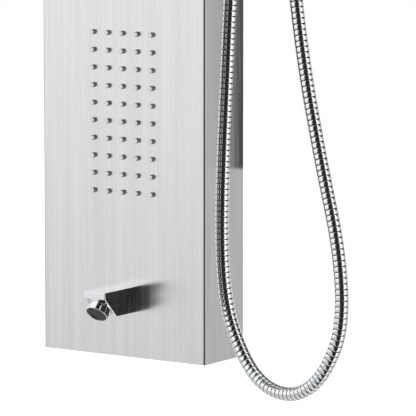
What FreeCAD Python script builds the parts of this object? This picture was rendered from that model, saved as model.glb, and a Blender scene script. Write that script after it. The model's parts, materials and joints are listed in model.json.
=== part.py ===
"""Rainfall shower column: a wall-hung panel with a rain head, body jets, a tub spout and a hand shower.

Every piece is its own closed solid, written to parts/NODE.step in millimetres.
The frame: X across the panel, Y towards the wall, Z up.  The origin is the centre of the four wall
screws on the wall plane, so the wall is Y = 0 and the room is on the -Y side.
Heights named *_HEIGHT are counted up from the bottom edge of the panel.
"""
import FreeCAD, Part
import math
import os

from FreeCAD import Vector

# ---------------------------------------------------------------- driving dimensions: panel and wall
PANEL_WIDTH = 200.0
PANEL_DEPTH = 70.0
PANEL_HEIGHT = 1360.0
SHEET = 1.5
BEND_RADIUS = 2.0
RETURN_FLANGE = 14.0
WALL_GAP = 1.0

BOLT_INSET = 40.0
LOWER_BOLT_HEIGHT = 150.0
UPPER_BOLT_DROP = 110.0
BOLT_HOLE_RADIUS = 3.25
BRACKET_SHEET = 1.5
BRACKET_HEIGHT = 32.0
BRACKET_EAR = 10.0
BRACKET_SIDE_GAP = 2.0
HOOK_GAP = 0.2

# ---------------------------------------------------------------- driving dimensions: rain head
HEAD_REACH = 480.0
HEAD_THICKNESS = 40.0
RAIN_COLUMNS = 8
RAIN_ROWS = 12
RAIN_PITCH = PANEL_WIDTH / 10
RAIN_NOZZLE_RADIUS = 3.0
RAIN_NOZZLE_STAND = 3.0
RAIN_MARGIN = 14.0
RAIN_CHAMBER_HEIGHT = 24.0
HEAD_BLOCK = 12.0
HEAD_PLATE_GAP = 0.2
HEAD_SCREW_X = 60.0

# ---------------------------------------------------------------- driving dimensions: body jets
JET_COLUMNS = 5
JET_ROWS = 10
JET_PITCH = 18.0
JET_NOZZLE_RADIUS = 2.5
JET_NOZZLE_STAND = 3.5
JET_BORE_RADIUS = 0.6
JET_TIP_CHAMFER = 0.5
LOWER_JETS_HEIGHT = 250.0
UPPER_JETS_HEIGHT = 880.0
MAT_THICKNESS = 1.5
MAT_MARGIN = 24.0
CHAMBER_MARGIN = 10.0
CHAMBER_DEPTH = 22.0
CHAMBER_WALL = 2.5
EAR_THICKNESS = 3.0
STUD_RADIUS = 2.0
STUD_LENGTH = 12.0
STUD_MARGIN = 16.0
BOSS_WIDTH = 18.0
BOSS_HEIGHT = 16.0

# ---------------------------------------------------------------- driving dimensions: plumbing
HOSE_PLANE = 24.0
HOSE_RUN_X = 40.0
FEED_RUN_X = 70.0
SPIGOT_RADIUS = 4.0
SPIGOT_BORE = 2.5
SPIGOT_LENGTH = 12.0
HOSE_WALL = 1.9
CLIP_WIDTH = 7.0
CLIP_THICKNESS = 0.8
CLIP_SETBACK = 3.0
WATER_TUBE_RADIUS = 7.0
WATER_TUBE_WALL = 1.2
UNION_WALL = 3.0
UNION_STAND = 4.0
UNION_NUT_ACROSS = 22.0
UNION_NUT_HEIGHT = 10.0
RAIN_PIPE_BEND = 14.0
HALF_INCH_RADIUS = 10.48
HALF_INCH_BORE = 7.5
NUT_HEIGHT = 6.0
NUT_WALL = 3.02
ELBOW_WALL = 3.0
ELBOW_BACK_WALL = 2.0
ELBOW_THROAT = 4.0
SMALL_NUT_ACROSS = 3.5 * STUD_RADIUS
SMALL_NUT_HEIGHT = 1.6 * STUD_RADIUS
SPOUT_HOSE_SHIFT = 72.0
SPOUT_HOSE_RUN = 34.0
GASKET_THICKNESS = 1.0

# ---------------------------------------------------------------- driving dimensions: mixer
MIXER_HEIGHT = 425.0
CARTRIDGE_RADIUS = 17.5
CARTRIDGE_DEPTH = 31.0
NECK_WALL = 3.5
NECK_NUT_DEPTH = 4.5
NECK_NUT_WALL = 5.0
VALVE_BACK_WALL = 10.5
COVER_WALL = 2.0
COVER_ROUND = 1.5
MIXER_NECK_STAND = 8.0
MIXER_CARTRIDGE_STAND = 6.0
CUP_DEPTH = 9.0
CARRIER_RADIUS = 12.0
CARRIER_STAND = 7.5
CARRIER_SLOT_BACK = 6.5
PIN_RADIUS = 1.5
PIN_INSET = 1.5
STEM_SIZE = 8.0
STEM_BACK = 4.0
STEM_FRONT = 34.0
MIXER_PIVOT = 3.0
DOME_STAND = 4.0
DOME_WALL = 1.5
DOME_OPENING = 37.0
DOME_MIDDLE = 60.0
SKIRT_GAP = 1.0
NUT_RECESS_GAP = 1.0
MIXER_HUB_INSET = 1.0
MIXER_HUB_START = 18.0
HANDLE_ROUND = 1.2
SET_SCREW_LENGTH = 8.0
MIXER_SCREW_PLACE = 31.0
MIXER_HUB_DEPTH = 23.0
LEVER_WIDTH = 14.0
LEVER_THICKNESS = 7.0
LEVER_LENGTH = 74.0
INLET_SPACING = 34.0
INLET_LENGTH = 16.0
INLET_BOSS_RADIUS = 13.0

# ---------------------------------------------------------------- driving dimensions: diverter
DIVERTER_HEIGHT = 540.0
DIVERTER_NECK_STAND = 5.5
DIVERTER_CARTRIDGE_RADIUS = 13.5
SPIGOT_ROOT = 4.0
SPIGOT_ANGLES = {"rain": 120.0, "upper": 90.0, "hand": 45.0, "lower": 232.0, "spout": 308.0}
ROTOR_RADIUS = 9.0
ROTOR_SETBACK = 6.0
ROTOR_LENGTH = 20.0
SPINDLE_RADIUS = 5.0
KNOB_RADIUS = 23.0
KNOB_START = 8.0
KNOB_DEPTH = 18.0
KNOB_SKIN = 3.0
KNOB_SCREW_SETBACK = 6.0
GRIP_WIDTH = 9.0
GRIP_HEIGHT = 12.0
GRIP_INSET = 1.5
ESCUTCHEON_RADIUS = 32.0

# ---------------------------------------------------------------- driving dimensions: tub spout
SPOUT_HEIGHT = 59.5
SPOUT_SECTION = 26.5
SPOUT_REACH = 51.0
SPOUT_LIP = 7.0
SPOUT_CHAMFER_RUN = 20.0
SPOUT_TAIL = 22.0
SPOUT_ROUND = 0.8
SPOUT_BORE_END = 4.0
AERATOR_RADIUS = 11.9
AERATOR_STAND = 9.0
AERATOR_SET_IN = 5.5
AERATOR_SEAT = 6.0
AERATOR_WALL = 1.0
AERATOR_LEDGE = 1.5
AERATOR_RECESS = 1.0
AERATOR_ROUND = 0.4
AERATOR_HOLE_RADIUS = 0.75
AERATOR_HOLE_PITCH = 2.2

# ---------------------------------------------------------------- driving dimensions: hand shower
OUTLET_HEIGHT = 656.0
OUTLET_STAND = 28.0
OUTLET_BLOCK = 24.0
OUTLET_TAIL = 16.0
OUTLET_NUT_HEIGHT = 5.0
FITTING_ROUND = 1.5
OUTLET_FLANGE = 32.0
OUTLET_FLANGE_THICKNESS = 4.0
OUTLET_THREAD = 16.0
HOSE_RADIUS = 7.0
HOSE_NUT_RADIUS = 12.5
HOSE_NUT_HEIGHT = 18.0
HOSE_NUT_OVERLAP = 15.0
HOSE_NUT_ROUND = 1.0
HOSE_BORE = 5.5
CONE_BORE = 4.5
HOLDER_STAND = 80.0
HOLDER_SETBACK = 10.0
HOLDER_HEIGHT = 696.0
HOLDER_CUP_HEIGHT = 30.0
HOLDER_CUP_RADIUS = 17.0
HOLDER_SLOT = 16.0
HOLDER_ARM = 15.0
HOLDER_PLATE = 34.0
HOLDER_PLATE_THICKNESS = 5.0
HOLDER_ARM_SETBACK = 4.0
HOLDER_PLATE_SETBACK = 8.0
HOLDER_SCREW_INSET = 7.0
HOLDER_SCREW_REACH = 4.0
CONE_LENGTH = 52.0
CONE_RADIUS_LOW = 9.0
CONE_RADIUS_HIGH = 12.5
CONE_DROP = 18.0
NIPPLE_RADIUS = 10.0
NIPPLE_LENGTH = 12.0
HANDSET_SECTION = 25.0
HANDSET_LENGTH = 205.0
HANDSET_WALL = 2.0
HANDSET_ROUND = 1.5
NIPPLE_ROOT = 2.0
FACE_WIDTH = 18.0
FACE_LENGTH = 120.0
FACE_THICKNESS = 1.6
FACE_DROP = 8.0
SPRAY_COLUMNS = 3
SPRAY_ROWS = 18
SPRAY_PITCH_X = 5.5
SPRAY_PITCH_Z = 6.325
SPRAY_NOZZLE_RADIUS = 1.2
SPRAY_NOZZLE_STAND = 1.2
SPRAY_BORE_RADIUS = 0.5
SPRAY_PAD_THICKNESS = 3.1
SPRAY_PAD_OVERLAP = 1.0

# ---------------------------------------------------------------- clearances
HOLE_GAP = 0.2
THREAD_GAP = 0.05
RUNNING_GAP = 0.06
CONE_GAP = 0.3
BORE_GAP = 0.1
PIN_GAP = 0.01
HOSE_END_GAP = 1.0
OVERCUT = 1.0

# Route of the free hand-shower hose, from the outlet nut to the cone nut: X, Y and height.
HOSE_ROUTE = [
    (128, -36, 585),
    (118, -36, 490),
    (110, -39, 380),
    (109, -45, 285),
    (109, -52, 195),
    (109, -54, 120),
    (111, -50, 66),
    (124, -53, 31),
    (149, -58, -6),
    (182, -66, -21),
    (219, -75, -17),
    (250, -82, 8),
    (274, -87, 57),
    (269, -86, 131),
    (244, -80, 214),
    (218, -74, 315),
    (200, -70, 429),
    (191, -68, 520),
    (188, -63, 590),
    (180, -61, 645),
]

# ---------------------------------------------------------------- planes and heights that follow
FRONT = -(WALL_GAP + PANEL_DEPTH)
INSIDE = FRONT + SHEET
REAR = -WALL_GAP
SIDE = PANEL_WIDTH / 2
HOSE_Y = -HOSE_PLANE
BOLT_X = SIDE - BOLT_INSET
BOLT_Z = (PANEL_HEIGHT - LOWER_BOLT_HEIGHT - UPPER_BOLT_DROP) / 2
MOUNT_HEIGHT = LOWER_BOLT_HEIGHT + BOLT_Z
NUT_ACROSS = 2 * (HALF_INCH_RADIUS + NUT_WALL)
MIXER_NECK_RADIUS = CARTRIDGE_RADIUS + NECK_WALL
DIVERTER_NECK_RADIUS = DIVERTER_CARTRIDGE_RADIUS + NECK_WALL
VALVE_RADIUS = MIXER_NECK_RADIUS + NECK_NUT_WALL
VALVE_DEPTH = HOSE_Y + VALVE_BACK_WALL - INSIDE
DOME_RADIUS = MIXER_NECK_RADIUS + DOME_STAND
MIXER_HUB_RADIUS = DOME_RADIUS - MIXER_HUB_INSET
ELBOW_BACK = HOSE_Y + SPIGOT_RADIUS + ELBOW_BACK_WALL
OUTLET_X = SIDE + OUTLET_STAND
OUTLET_Y = (FRONT + REAR) / 2
HOLDER_X = SIDE + HOLDER_STAND
HOLDER_Y = FRONT + HOLDER_SETBACK
DRILL = SHEET + 2 * OVERCUT

PARTS = {}
HOSE_ENDS = []


def level(height):
    """Return the Z of a height counted up from the bottom edge of the panel."""
    return height - MOUNT_HEIGHT


def block(x_low, x_high, y_low, y_high, z_low, z_high):
    """Return a box between six planes."""
    corner = Vector(x_low, y_low, z_low)
    return Part.makeBox(x_high - x_low, y_high - y_low, z_high - z_low, corner)


def rod(start, direction, radius, length):
    """Return a solid cylinder from a point along a direction."""
    return Part.makeCylinder(radius, length, Vector(*start), Vector(*direction))


def tube(start, direction, radius, bore, length):
    """Return a hollow cylinder with flat ends."""
    return rod(start, direction, radius, length).cut(rod(start, direction, bore, length))


def hexagon(centre, direction, across, bore, height):
    """Return a hexagonal nut with its lower face on a point."""
    corner_radius = across / math.sqrt(3)
    corners = []
    for side in range(7):
        angle = math.radians(60 * side)
        corners.append(Vector(corner_radius * math.cos(angle), corner_radius * math.sin(angle), 0))
    prism = Part.Face(Part.makePolygon(corners)).extrude(Vector(0, 0, height))
    nut = prism.cut(Part.makeCylinder(bore, height))
    nut.Placement = FreeCAD.Placement(Vector(*centre), FreeCAD.Rotation(Vector(0, 0, 1), Vector(*direction)))
    return nut


def rim_at(solid, y):
    """Return the edges of a turned piece that lie wholly in the plane at a Y."""
    return [edge for edge in solid.Edges if abs(edge.BoundBox.YMax - y) < 1e-6]


def is_along(edge, axis):
    """Return True if a straight edge runs along an axis vector."""
    if not isinstance(edge.Curve, Part.Line):
        return False
    return abs(abs(edge.Curve.Direction.dot(axis)) - 1) < 1e-6


def small_nut(centre, direction):
    """Return a small nut for a stud or screw, with its lower face on a point."""
    return hexagon(centre, direction, SMALL_NUT_ACROSS, STUD_RADIUS + THREAD_GAP, SMALL_NUT_HEIGHT)


def round_upright_front(box, front):
    """Fillet the upright edges of a box that lie in its front plane."""
    upright = [edge for edge in box.Edges if is_along(edge, Vector(0, 0, 1))]
    return box.makeFillet(BEND_RADIUS, [edge for edge in upright if edge.BoundBox.YMax < front + SHEET])


def turned(outline, height):
    """Revolve a closed outline about a valve's axis.

    The outline is a list of lines and arcs, each a tuple of two or three (radius, depth) pairs,
    where depth is the distance in front of the panel.
    """
    edges = []
    for stretch in outline:
        points = [Vector(radius, FRONT - depth, level(height)) for radius, depth in stretch]
        curve = Part.Arc(*points) if len(points) == 3 else Part.LineSegment(*points)
        edges.append(curve.toShape())
    face = Part.Face(Part.Wire(edges))
    return face.revolve(Vector(0, 0, level(height)), Vector(0, 1, 0), 360)


def bent_path(points):
    """Return the wire of a route with each corner rounded, its length and its radii."""
    nodes = [Vector(*point) for point in points]
    edges = []
    radii = []
    last = nodes[0]
    for before, corner, after in zip(nodes, nodes[1:], nodes[2:]):
        back = (before - corner).normalize()
        ahead = (after - corner).normalize()
        half_turn = (math.pi - back.getAngle(ahead)) / 2
        shorter = min((before - corner).Length, (after - corner).Length)
        reach = 0.45 * shorter
        radius = reach / math.tan(half_turn)
        bisector = (back + ahead).normalize()
        middle = corner + bisector * (radius / math.cos(half_turn) - radius)
        arc_start = corner + back * reach
        arc_end = corner + ahead * reach
        edges.append(Part.LineSegment(last, arc_start).toShape())
        edges.append(Part.Arc(arc_start, middle, arc_end).toShape())
        radii.append(radius)
        last = arc_end
    edges.append(Part.LineSegment(last, nodes[-1]).toShape())
    wire = Part.Wire(edges)
    return wire, wire.Length, radii


def swept(points, radius):
    """Sweep a disc along a rounded route and print how true the tube is."""
    wire, length, radii = bent_path(points)
    start = Vector(*points[0])
    direction = Vector(*points[1]) - start
    disc = Part.Wire(Part.makeCircle(radius, start, direction))
    solid = wire.makePipeShell([disc], True, True)
    share = solid.Volume / (math.pi * radius ** 2 * length)
    rounded = [round(radius) for radius in radii]
    print("tube: length %.1f, volume share %.4f, radii %s" % (length, share, rounded))
    return solid


def inner_hose(name, points):
    """Make a hose held inside the panel, with a clip at each end."""
    bore = SPIGOT_RADIUS + BORE_GAP
    PARTS[name] = swept(points, bore + HOSE_WALL).cut(swept(points, bore))
    for end, beside in ((points[0], points[1]), (points[-1], points[-2])):
        direction = (Vector(*beside) - Vector(*end)).normalize()
        HOSE_ENDS.append((Vector(*end) + direction * CLIP_SETBACK, direction))


def polar(radius, angle, x, height):
    """Return a point in the hose plane at a radius and angle from a valve's axis."""
    turn = math.radians(angle)
    return (x + radius * math.cos(turn), HOSE_Y, level(height) + radius * math.sin(turn))


# ---------------------------------------------------------------- rows of nozzles
def jet_places(centre_height):
    """Return the X and Z of each jet of one field."""
    places = []
    for column in range(JET_COLUMNS):
        for row in range(JET_ROWS):
            x = (column - (JET_COLUMNS - 1) / 2) * JET_PITCH
            z = level(centre_height) + (row - (JET_ROWS - 1) / 2) * JET_PITCH
            places.append((x, z))
    return places


def jet_half_sizes(margin):
    """Return half the width and half the height of a jet field with a margin round it."""
    return (JET_COLUMNS - 1) / 2 * JET_PITCH + margin, (JET_ROWS - 1) / 2 * JET_PITCH + margin


def stud_places(centre_height):
    """Return the X and Z of the studs round one jet field."""
    half_width, half_height = jet_half_sizes(STUD_MARGIN)
    middle = level(centre_height)
    return [(x, middle + z) for x in (-half_width, half_width) for z in (-half_height, 0, half_height)]


def rain_centre():
    """Return the Y of the middle of the rain nozzles."""
    return (FRONT + REAR - HEAD_REACH) / 2


def rain_places():
    """Return the X and Y of each rain nozzle."""
    places = []
    for column in range(RAIN_COLUMNS):
        for row in range(RAIN_ROWS):
            x = (column - (RAIN_COLUMNS - 1) / 2) * RAIN_PITCH
            y = rain_centre() + (row - (RAIN_ROWS - 1) / 2) * RAIN_PITCH
            places.append((x, y))
    return places


def head_block_places():
    """Return the X and Y of the screw blocks in the corners of the rain head."""
    inset = SHEET + HEAD_BLOCK / 2
    xs = (-SIDE + inset, SIDE - inset)
    ys = (REAR - HEAD_REACH + inset, rain_centre(), REAR - inset)
    return [(x, y) for x in xs for y in ys]


# ---------------------------------------------------------------- panel
def make_body_shell():
    """Make the folded sheet body: front, sides, return flanges, bottom and top, with welded studs."""
    bottom, top = level(0), level(PANEL_HEIGHT)
    outer = block(-SIDE, SIDE, FRONT, REAR, bottom, top)
    outer = round_upright_front(outer, FRONT)
    inner = block(-SIDE + SHEET, SIDE - SHEET, INSIDE, REAR - SHEET, bottom + SHEET, top - SHEET)
    back = SIDE - RETURN_FLANGE
    mouth = block(-back, back, REAR - SHEET - OVERCUT, REAR, bottom + SHEET, top - SHEET)
    shell = outer.cut(inner).cut(mouth)
    holes = []
    for centre_height in (LOWER_JETS_HEIGHT, UPPER_JETS_HEIGHT):
        for x, z in jet_places(centre_height):
            holes.append(rod((x, FRONT - OVERCUT, z), (0, 1, 0), JET_NOZZLE_RADIUS + HOLE_GAP, DRILL))
    for height, radius in (
        (SPOUT_HEIGHT, HALF_INCH_RADIUS),
        (MIXER_HEIGHT, MIXER_NECK_RADIUS),
        (DIVERTER_HEIGHT, DIVERTER_NECK_RADIUS),
    ):
        start = (0, FRONT - OVERCUT, level(height))
        holes.append(rod(start, (0, 1, 0), radius + HOLE_GAP, DRILL))
    side_start = (SIDE + OVERCUT, OUTLET_Y, level(OUTLET_HEIGHT))
    holes.append(rod(side_start, (-1, 0, 0), HALF_INCH_RADIUS + HOLE_GAP, DRILL))
    for y, z in holder_screw_places():
        holes.append(rod((SIDE + OVERCUT, y, z), (-1, 0, 0), STUD_RADIUS + HOLE_GAP, DRILL))
    rain_start = (-HOSE_RUN_X, HOSE_Y, top - SHEET - OVERCUT)
    holes.append(rod(rain_start, (0, 0, 1), SPIGOT_RADIUS + OVERCUT, DRILL))
    for x, y in head_screw_places():
        holes.append(rod((x, y, top - SHEET - OVERCUT), (0, 0, 1), STUD_RADIUS + HOLE_GAP, DRILL))
    shell = shell.cut(Part.makeCompound(holes))
    studs = []
    for centre_height in (LOWER_JETS_HEIGHT, UPPER_JETS_HEIGHT):
        for x, z in stud_places(centre_height):
            studs.append(rod((x, INSIDE, z), (0, 1, 0), STUD_RADIUS, STUD_LENGTH))
    PARTS["body_shell"] = shell.fuse(studs).removeSplitter()


def make_brackets():
    """Make the two wall brackets that the return flanges hook over."""
    flange_edge = SIDE - RETURN_FLANGE
    web = flange_edge - BRACKET_SIDE_GAP
    hook_back = REAR - SHEET - HOOK_GAP
    for name, offset in (("lower_bracket", -BOLT_Z), ("upper_bracket", BOLT_Z)):
        low, high = offset - BRACKET_HEIGHT / 2, offset + BRACKET_HEIGHT / 2
        bracket = block(-web, web, -BRACKET_SHEET, 0, low, high)
        for sign in (-1, 1):
            near, far = sorted((sign * web, sign * (web - BRACKET_SHEET)))
            bracket = bracket.fuse(block(near, far, hook_back - BRACKET_SHEET, 0, low, high))
            near, far = sorted((sign * (web - BRACKET_SHEET), sign * (web + BRACKET_EAR)))
            bracket = bracket.fuse(block(near, far, hook_back - BRACKET_SHEET, hook_back, low, high))
            hole_start = (sign * BOLT_X, -BRACKET_SHEET - OVERCUT, offset)
            drill = BRACKET_SHEET + 2 * OVERCUT
            bracket = bracket.cut(rod(hole_start, (0, 1, 0), BOLT_HOLE_RADIUS, drill))
        PARTS[name] = bracket.removeSplitter()


# ---------------------------------------------------------------- rain head
def head_screw_places():
    """Return the X and Y of the screws that join the rain head to the body."""
    middle = (INSIDE + REAR) / 2
    return [(-HEAD_SCREW_X, middle), (HEAD_SCREW_X, middle)]


def make_rain_head():
    """Make the rain head: pan, base plate, nozzle mat, water chamber, pipe and screws."""
    bottom = level(PANEL_HEIGHT)
    top = bottom + HEAD_THICKNESS
    tip = REAR - HEAD_REACH
    pan = block(-SIDE, SIDE, tip, REAR, bottom, top)
    pan = round_upright_front(pan, tip)
    pan = pan.cut(block(-SIDE + SHEET, SIDE - SHEET, tip + SHEET, REAR - SHEET, bottom, top - SHEET))
    floor = bottom + SHEET
    screws = []
    for x, y in head_block_places():
        half = HEAD_BLOCK / 2
        pan = pan.fuse(block(x - half, x + half, y - half, y + half, floor, floor + HEAD_BLOCK))
        pan = pan.cut(rod((x, y, floor), (0, 0, 1), STUD_RADIUS + THREAD_GAP, HEAD_BLOCK - SHEET))
        shank = rod((x, y, bottom), (0, 0, 1), STUD_RADIUS, SHEET + HEAD_BLOCK / 2)
        screws.append(shank.fuse(rod((x, y, bottom), (0, 0, -1), 2 * STUD_RADIUS, STUD_RADIUS)))
    PARTS["head_shell"] = pan.removeSplitter()

    gap = SHEET + HEAD_PLATE_GAP
    plate = block(-SIDE + gap, SIDE - gap, tip + gap, REAR - gap, bottom, floor)
    places = rain_places()
    holes = []
    for x, y in places:
        holes.append(rod((x, y, bottom - OVERCUT), (0, 0, 1), RAIN_NOZZLE_RADIUS + HOLE_GAP, DRILL))
    for x, y in head_block_places() + head_screw_places():
        holes.append(rod((x, y, bottom - OVERCUT), (0, 0, 1), STUD_RADIUS + HOLE_GAP, DRILL))
    holes.append(rod((-HOSE_RUN_X, HOSE_Y, bottom - OVERCUT), (0, 0, 1), SPIGOT_RADIUS + OVERCUT, DRILL))
    PARTS["head_base_plate"] = plate.cut(Part.makeCompound(holes))

    # The rear screws go up into the wall-side blocks, which stand over the body's top sheet,
    # so only the screws in front of the body carry a head below the plate.
    free_screws = [screw for screw in screws if screw.BoundBox.YMax < FRONT]
    PARTS["base_plate_screws"] = Part.makeCompound(free_screws)

    half_width = (RAIN_COLUMNS - 1) / 2 * RAIN_PITCH + RAIN_MARGIN
    half_length = (RAIN_ROWS - 1) / 2 * RAIN_PITCH + RAIN_MARGIN
    centre = rain_centre()
    mat_top = floor + MAT_THICKNESS
    mat = block(-half_width, half_width, centre - half_length, centre + half_length, floor, mat_top)
    nozzles = []
    bores = []
    length = RAIN_NOZZLE_STAND + SHEET
    bore_length = length + MAT_THICKNESS + 2 * OVERCUT
    for x, y in places:
        nozzles.append(rod((x, y, floor), (0, 0, -1), RAIN_NOZZLE_RADIUS, length))
        bores.append(rod((x, y, mat_top + OVERCUT), (0, 0, -1), JET_BORE_RADIUS, bore_length))
    PARTS["rain_nozzle_mat"] = mat.fuse(nozzles).cut(Part.makeCompound(bores))

    chamber_top = mat_top + RAIN_CHAMBER_HEIGHT
    chamber = block(-half_width, half_width, centre - half_length, centre + half_length, mat_top, chamber_top)
    wall = CHAMBER_WALL
    hollow = block(
        -half_width + wall, half_width - wall, centre - half_length + wall, centre + half_length - wall,
        mat_top, chamber_top - wall,
    )
    pipe_z = (mat_top + chamber_top) / 2
    rear_wall = centre + half_length
    inlet_start = (-HOSE_RUN_X, rear_wall - wall - OVERCUT, pipe_z)
    inlet = rod(inlet_start, (0, 1, 0), SPIGOT_RADIUS + THREAD_GAP, wall + 2 * OVERCUT)
    PARTS["rain_chamber"] = chamber.cut(hollow).cut(inlet)

    pipe_start = (-HOSE_RUN_X, rear_wall - wall, pipe_z)
    pipe_low = bottom - SHEET - SPIGOT_LENGTH - 2 * SPIGOT_RADIUS
    bend = RAIN_PIPE_BEND
    corner = Vector(-HOSE_RUN_X, HOSE_Y, pipe_z)
    arc_start = corner - Vector(0, bend, 0)
    arc_end = corner - Vector(0, 0, bend)
    middle = corner + Vector(0, -bend, -bend) * (1 - math.sqrt(0.5))
    wire = Part.Wire([
        Part.LineSegment(Vector(*pipe_start), arc_start).toShape(),
        Part.Arc(arc_start, middle, arc_end).toShape(),
        Part.LineSegment(arc_end, Vector(-HOSE_RUN_X, HOSE_Y, pipe_low)).toShape(),
    ])
    sections = []
    for radius in (SPIGOT_RADIUS, SPIGOT_BORE):
        disc = Part.Wire(Part.makeCircle(radius, Vector(*pipe_start), Vector(0, 1, 0)))
        sections.append(wire.makePipeShell([disc], True, True))
    PARTS["rain_pipe"] = sections[0].cut(sections[1])

    joints = []
    for x, y in head_screw_places():
        under = bottom - SHEET
        joints.append(rod((x, y, under), (0, 0, 1), STUD_RADIUS, 2 * SHEET + 4 * STUD_RADIUS))
        joints[-1] = joints[-1].fuse(rod((x, y, under), (0, 0, -1), 2 * STUD_RADIUS, STUD_RADIUS))
    PARTS["head_joint_screws"] = Part.makeCompound(joints)
    nuts = []
    for x, y in head_screw_places():
        nuts.append(small_nut((x, y, floor), (0, 0, 1)))
    PARTS["head_joint_nuts"] = Part.makeCompound(nuts)
    return pipe_low


# ---------------------------------------------------------------- body jets
def make_jet_field(prefix, centre_height, boss_x, boss_side):
    """Make one field of jets: nozzle mat, water manifold and the nuts that hold them."""
    middle = level(centre_height)
    half_width, half_height = jet_half_sizes(MAT_MARGIN)
    mat_back = INSIDE + MAT_THICKNESS
    mat = block(-half_width, half_width, INSIDE, mat_back, middle - half_height, middle + half_height)
    nozzles = []
    bores = []
    reach = SHEET + JET_NOZZLE_STAND
    bore_length = MAT_THICKNESS + reach + 2 * OVERCUT
    for x, z in jet_places(centre_height):
        nozzle = rod((x, INSIDE, z), (0, -1, 0), JET_NOZZLE_RADIUS, reach)
        nozzles.append(nozzle.makeChamfer(JET_TIP_CHAMFER, rim_at(nozzle, INSIDE - reach)))
        bores.append(rod((x, mat_back + OVERCUT, z), (0, -1, 0), JET_BORE_RADIUS, bore_length))
    mat_drill = MAT_THICKNESS + 2 * OVERCUT
    for x, z in stud_places(centre_height):
        bores.append(rod((x, INSIDE - OVERCUT, z), (0, 1, 0), STUD_RADIUS + HOLE_GAP, mat_drill))
    PARTS[prefix + "_jet_mat"] = mat.fuse(nozzles).cut(Part.makeCompound(bores))

    box_half_width, box_half_height = jet_half_sizes(CHAMBER_MARGIN)
    box_back = mat_back + CHAMBER_DEPTH
    ear_back = mat_back + EAR_THICKNESS
    flange = block(-half_width, half_width, mat_back, ear_back, middle - half_height, middle + half_height)
    box_low, box_high = middle - box_half_height, middle + box_half_height
    box = block(-box_half_width, box_half_width, mat_back, box_back, box_low, box_high)
    edge = middle + boss_side * box_half_height
    boss_low, boss_high = sorted((edge, edge - boss_side * BOSS_HEIGHT))
    boss_back = HOSE_Y + BOSS_WIDTH / 2
    boss_left, boss_right = boss_x - BOSS_WIDTH / 2, boss_x + BOSS_WIDTH / 2
    boss = block(boss_left, boss_right, box_back - OVERCUT, boss_back, boss_low, boss_high)
    spigot = rod((boss_x, HOSE_Y, edge), (0, 0, boss_side), SPIGOT_RADIUS, SPIGOT_LENGTH)
    wall = CHAMBER_WALL
    hollow = block(
        -box_half_width + wall, box_half_width - wall, mat_back, box_back - wall,
        box_low + wall, box_high - wall,
    )
    turn = edge - boss_side * BOSS_HEIGHT / 2
    down_start = (boss_x, HOSE_Y, edge + boss_side * (SPIGOT_LENGTH + OVERCUT))
    down_length = SPIGOT_LENGTH + OVERCUT + BOSS_HEIGHT / 2
    down = rod(down_start, (0, 0, -boss_side), SPIGOT_BORE, down_length)
    across = rod((boss_x, HOSE_Y, turn), (0, -1, 0), SPIGOT_BORE, HOSE_Y - box_back + wall + OVERCUT)
    manifold = flange.fuse([box, boss, spigot]).cut(hollow).cut(down).cut(across)
    for x, z in stud_places(centre_height):
        manifold = manifold.cut(rod((x, mat_back, z), (0, 1, 0), STUD_RADIUS + HOLE_GAP, EAR_THICKNESS))
    PARTS[prefix + "_jet_manifold"] = manifold.removeSplitter()

    nuts = []
    for x, z in stud_places(centre_height):
        nuts.append(small_nut((x, ear_back, z), (0, 1, 0)))
    PARTS[prefix + "_manifold_nuts"] = Part.makeCompound(nuts)
    return edge + boss_side * BORE_GAP


# ---------------------------------------------------------------- valves
def make_valve_body(height, neck_radius, neck_stand, cavity_radius):
    """Return a brass valve body with a threaded neck through the panel and a cartridge cavity."""
    z = level(height)
    body = rod((0, INSIDE, z), (0, 1, 0), VALVE_RADIUS, VALVE_DEPTH)
    body = body.fuse(rod((0, INSIDE, z), (0, -1, 0), neck_radius, SHEET + neck_stand))
    cavity_length = neck_stand + CARTRIDGE_DEPTH
    return body.cut(rod((0, FRONT - neck_stand, z), (0, 1, 0), cavity_radius + BORE_GAP, cavity_length))


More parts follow.
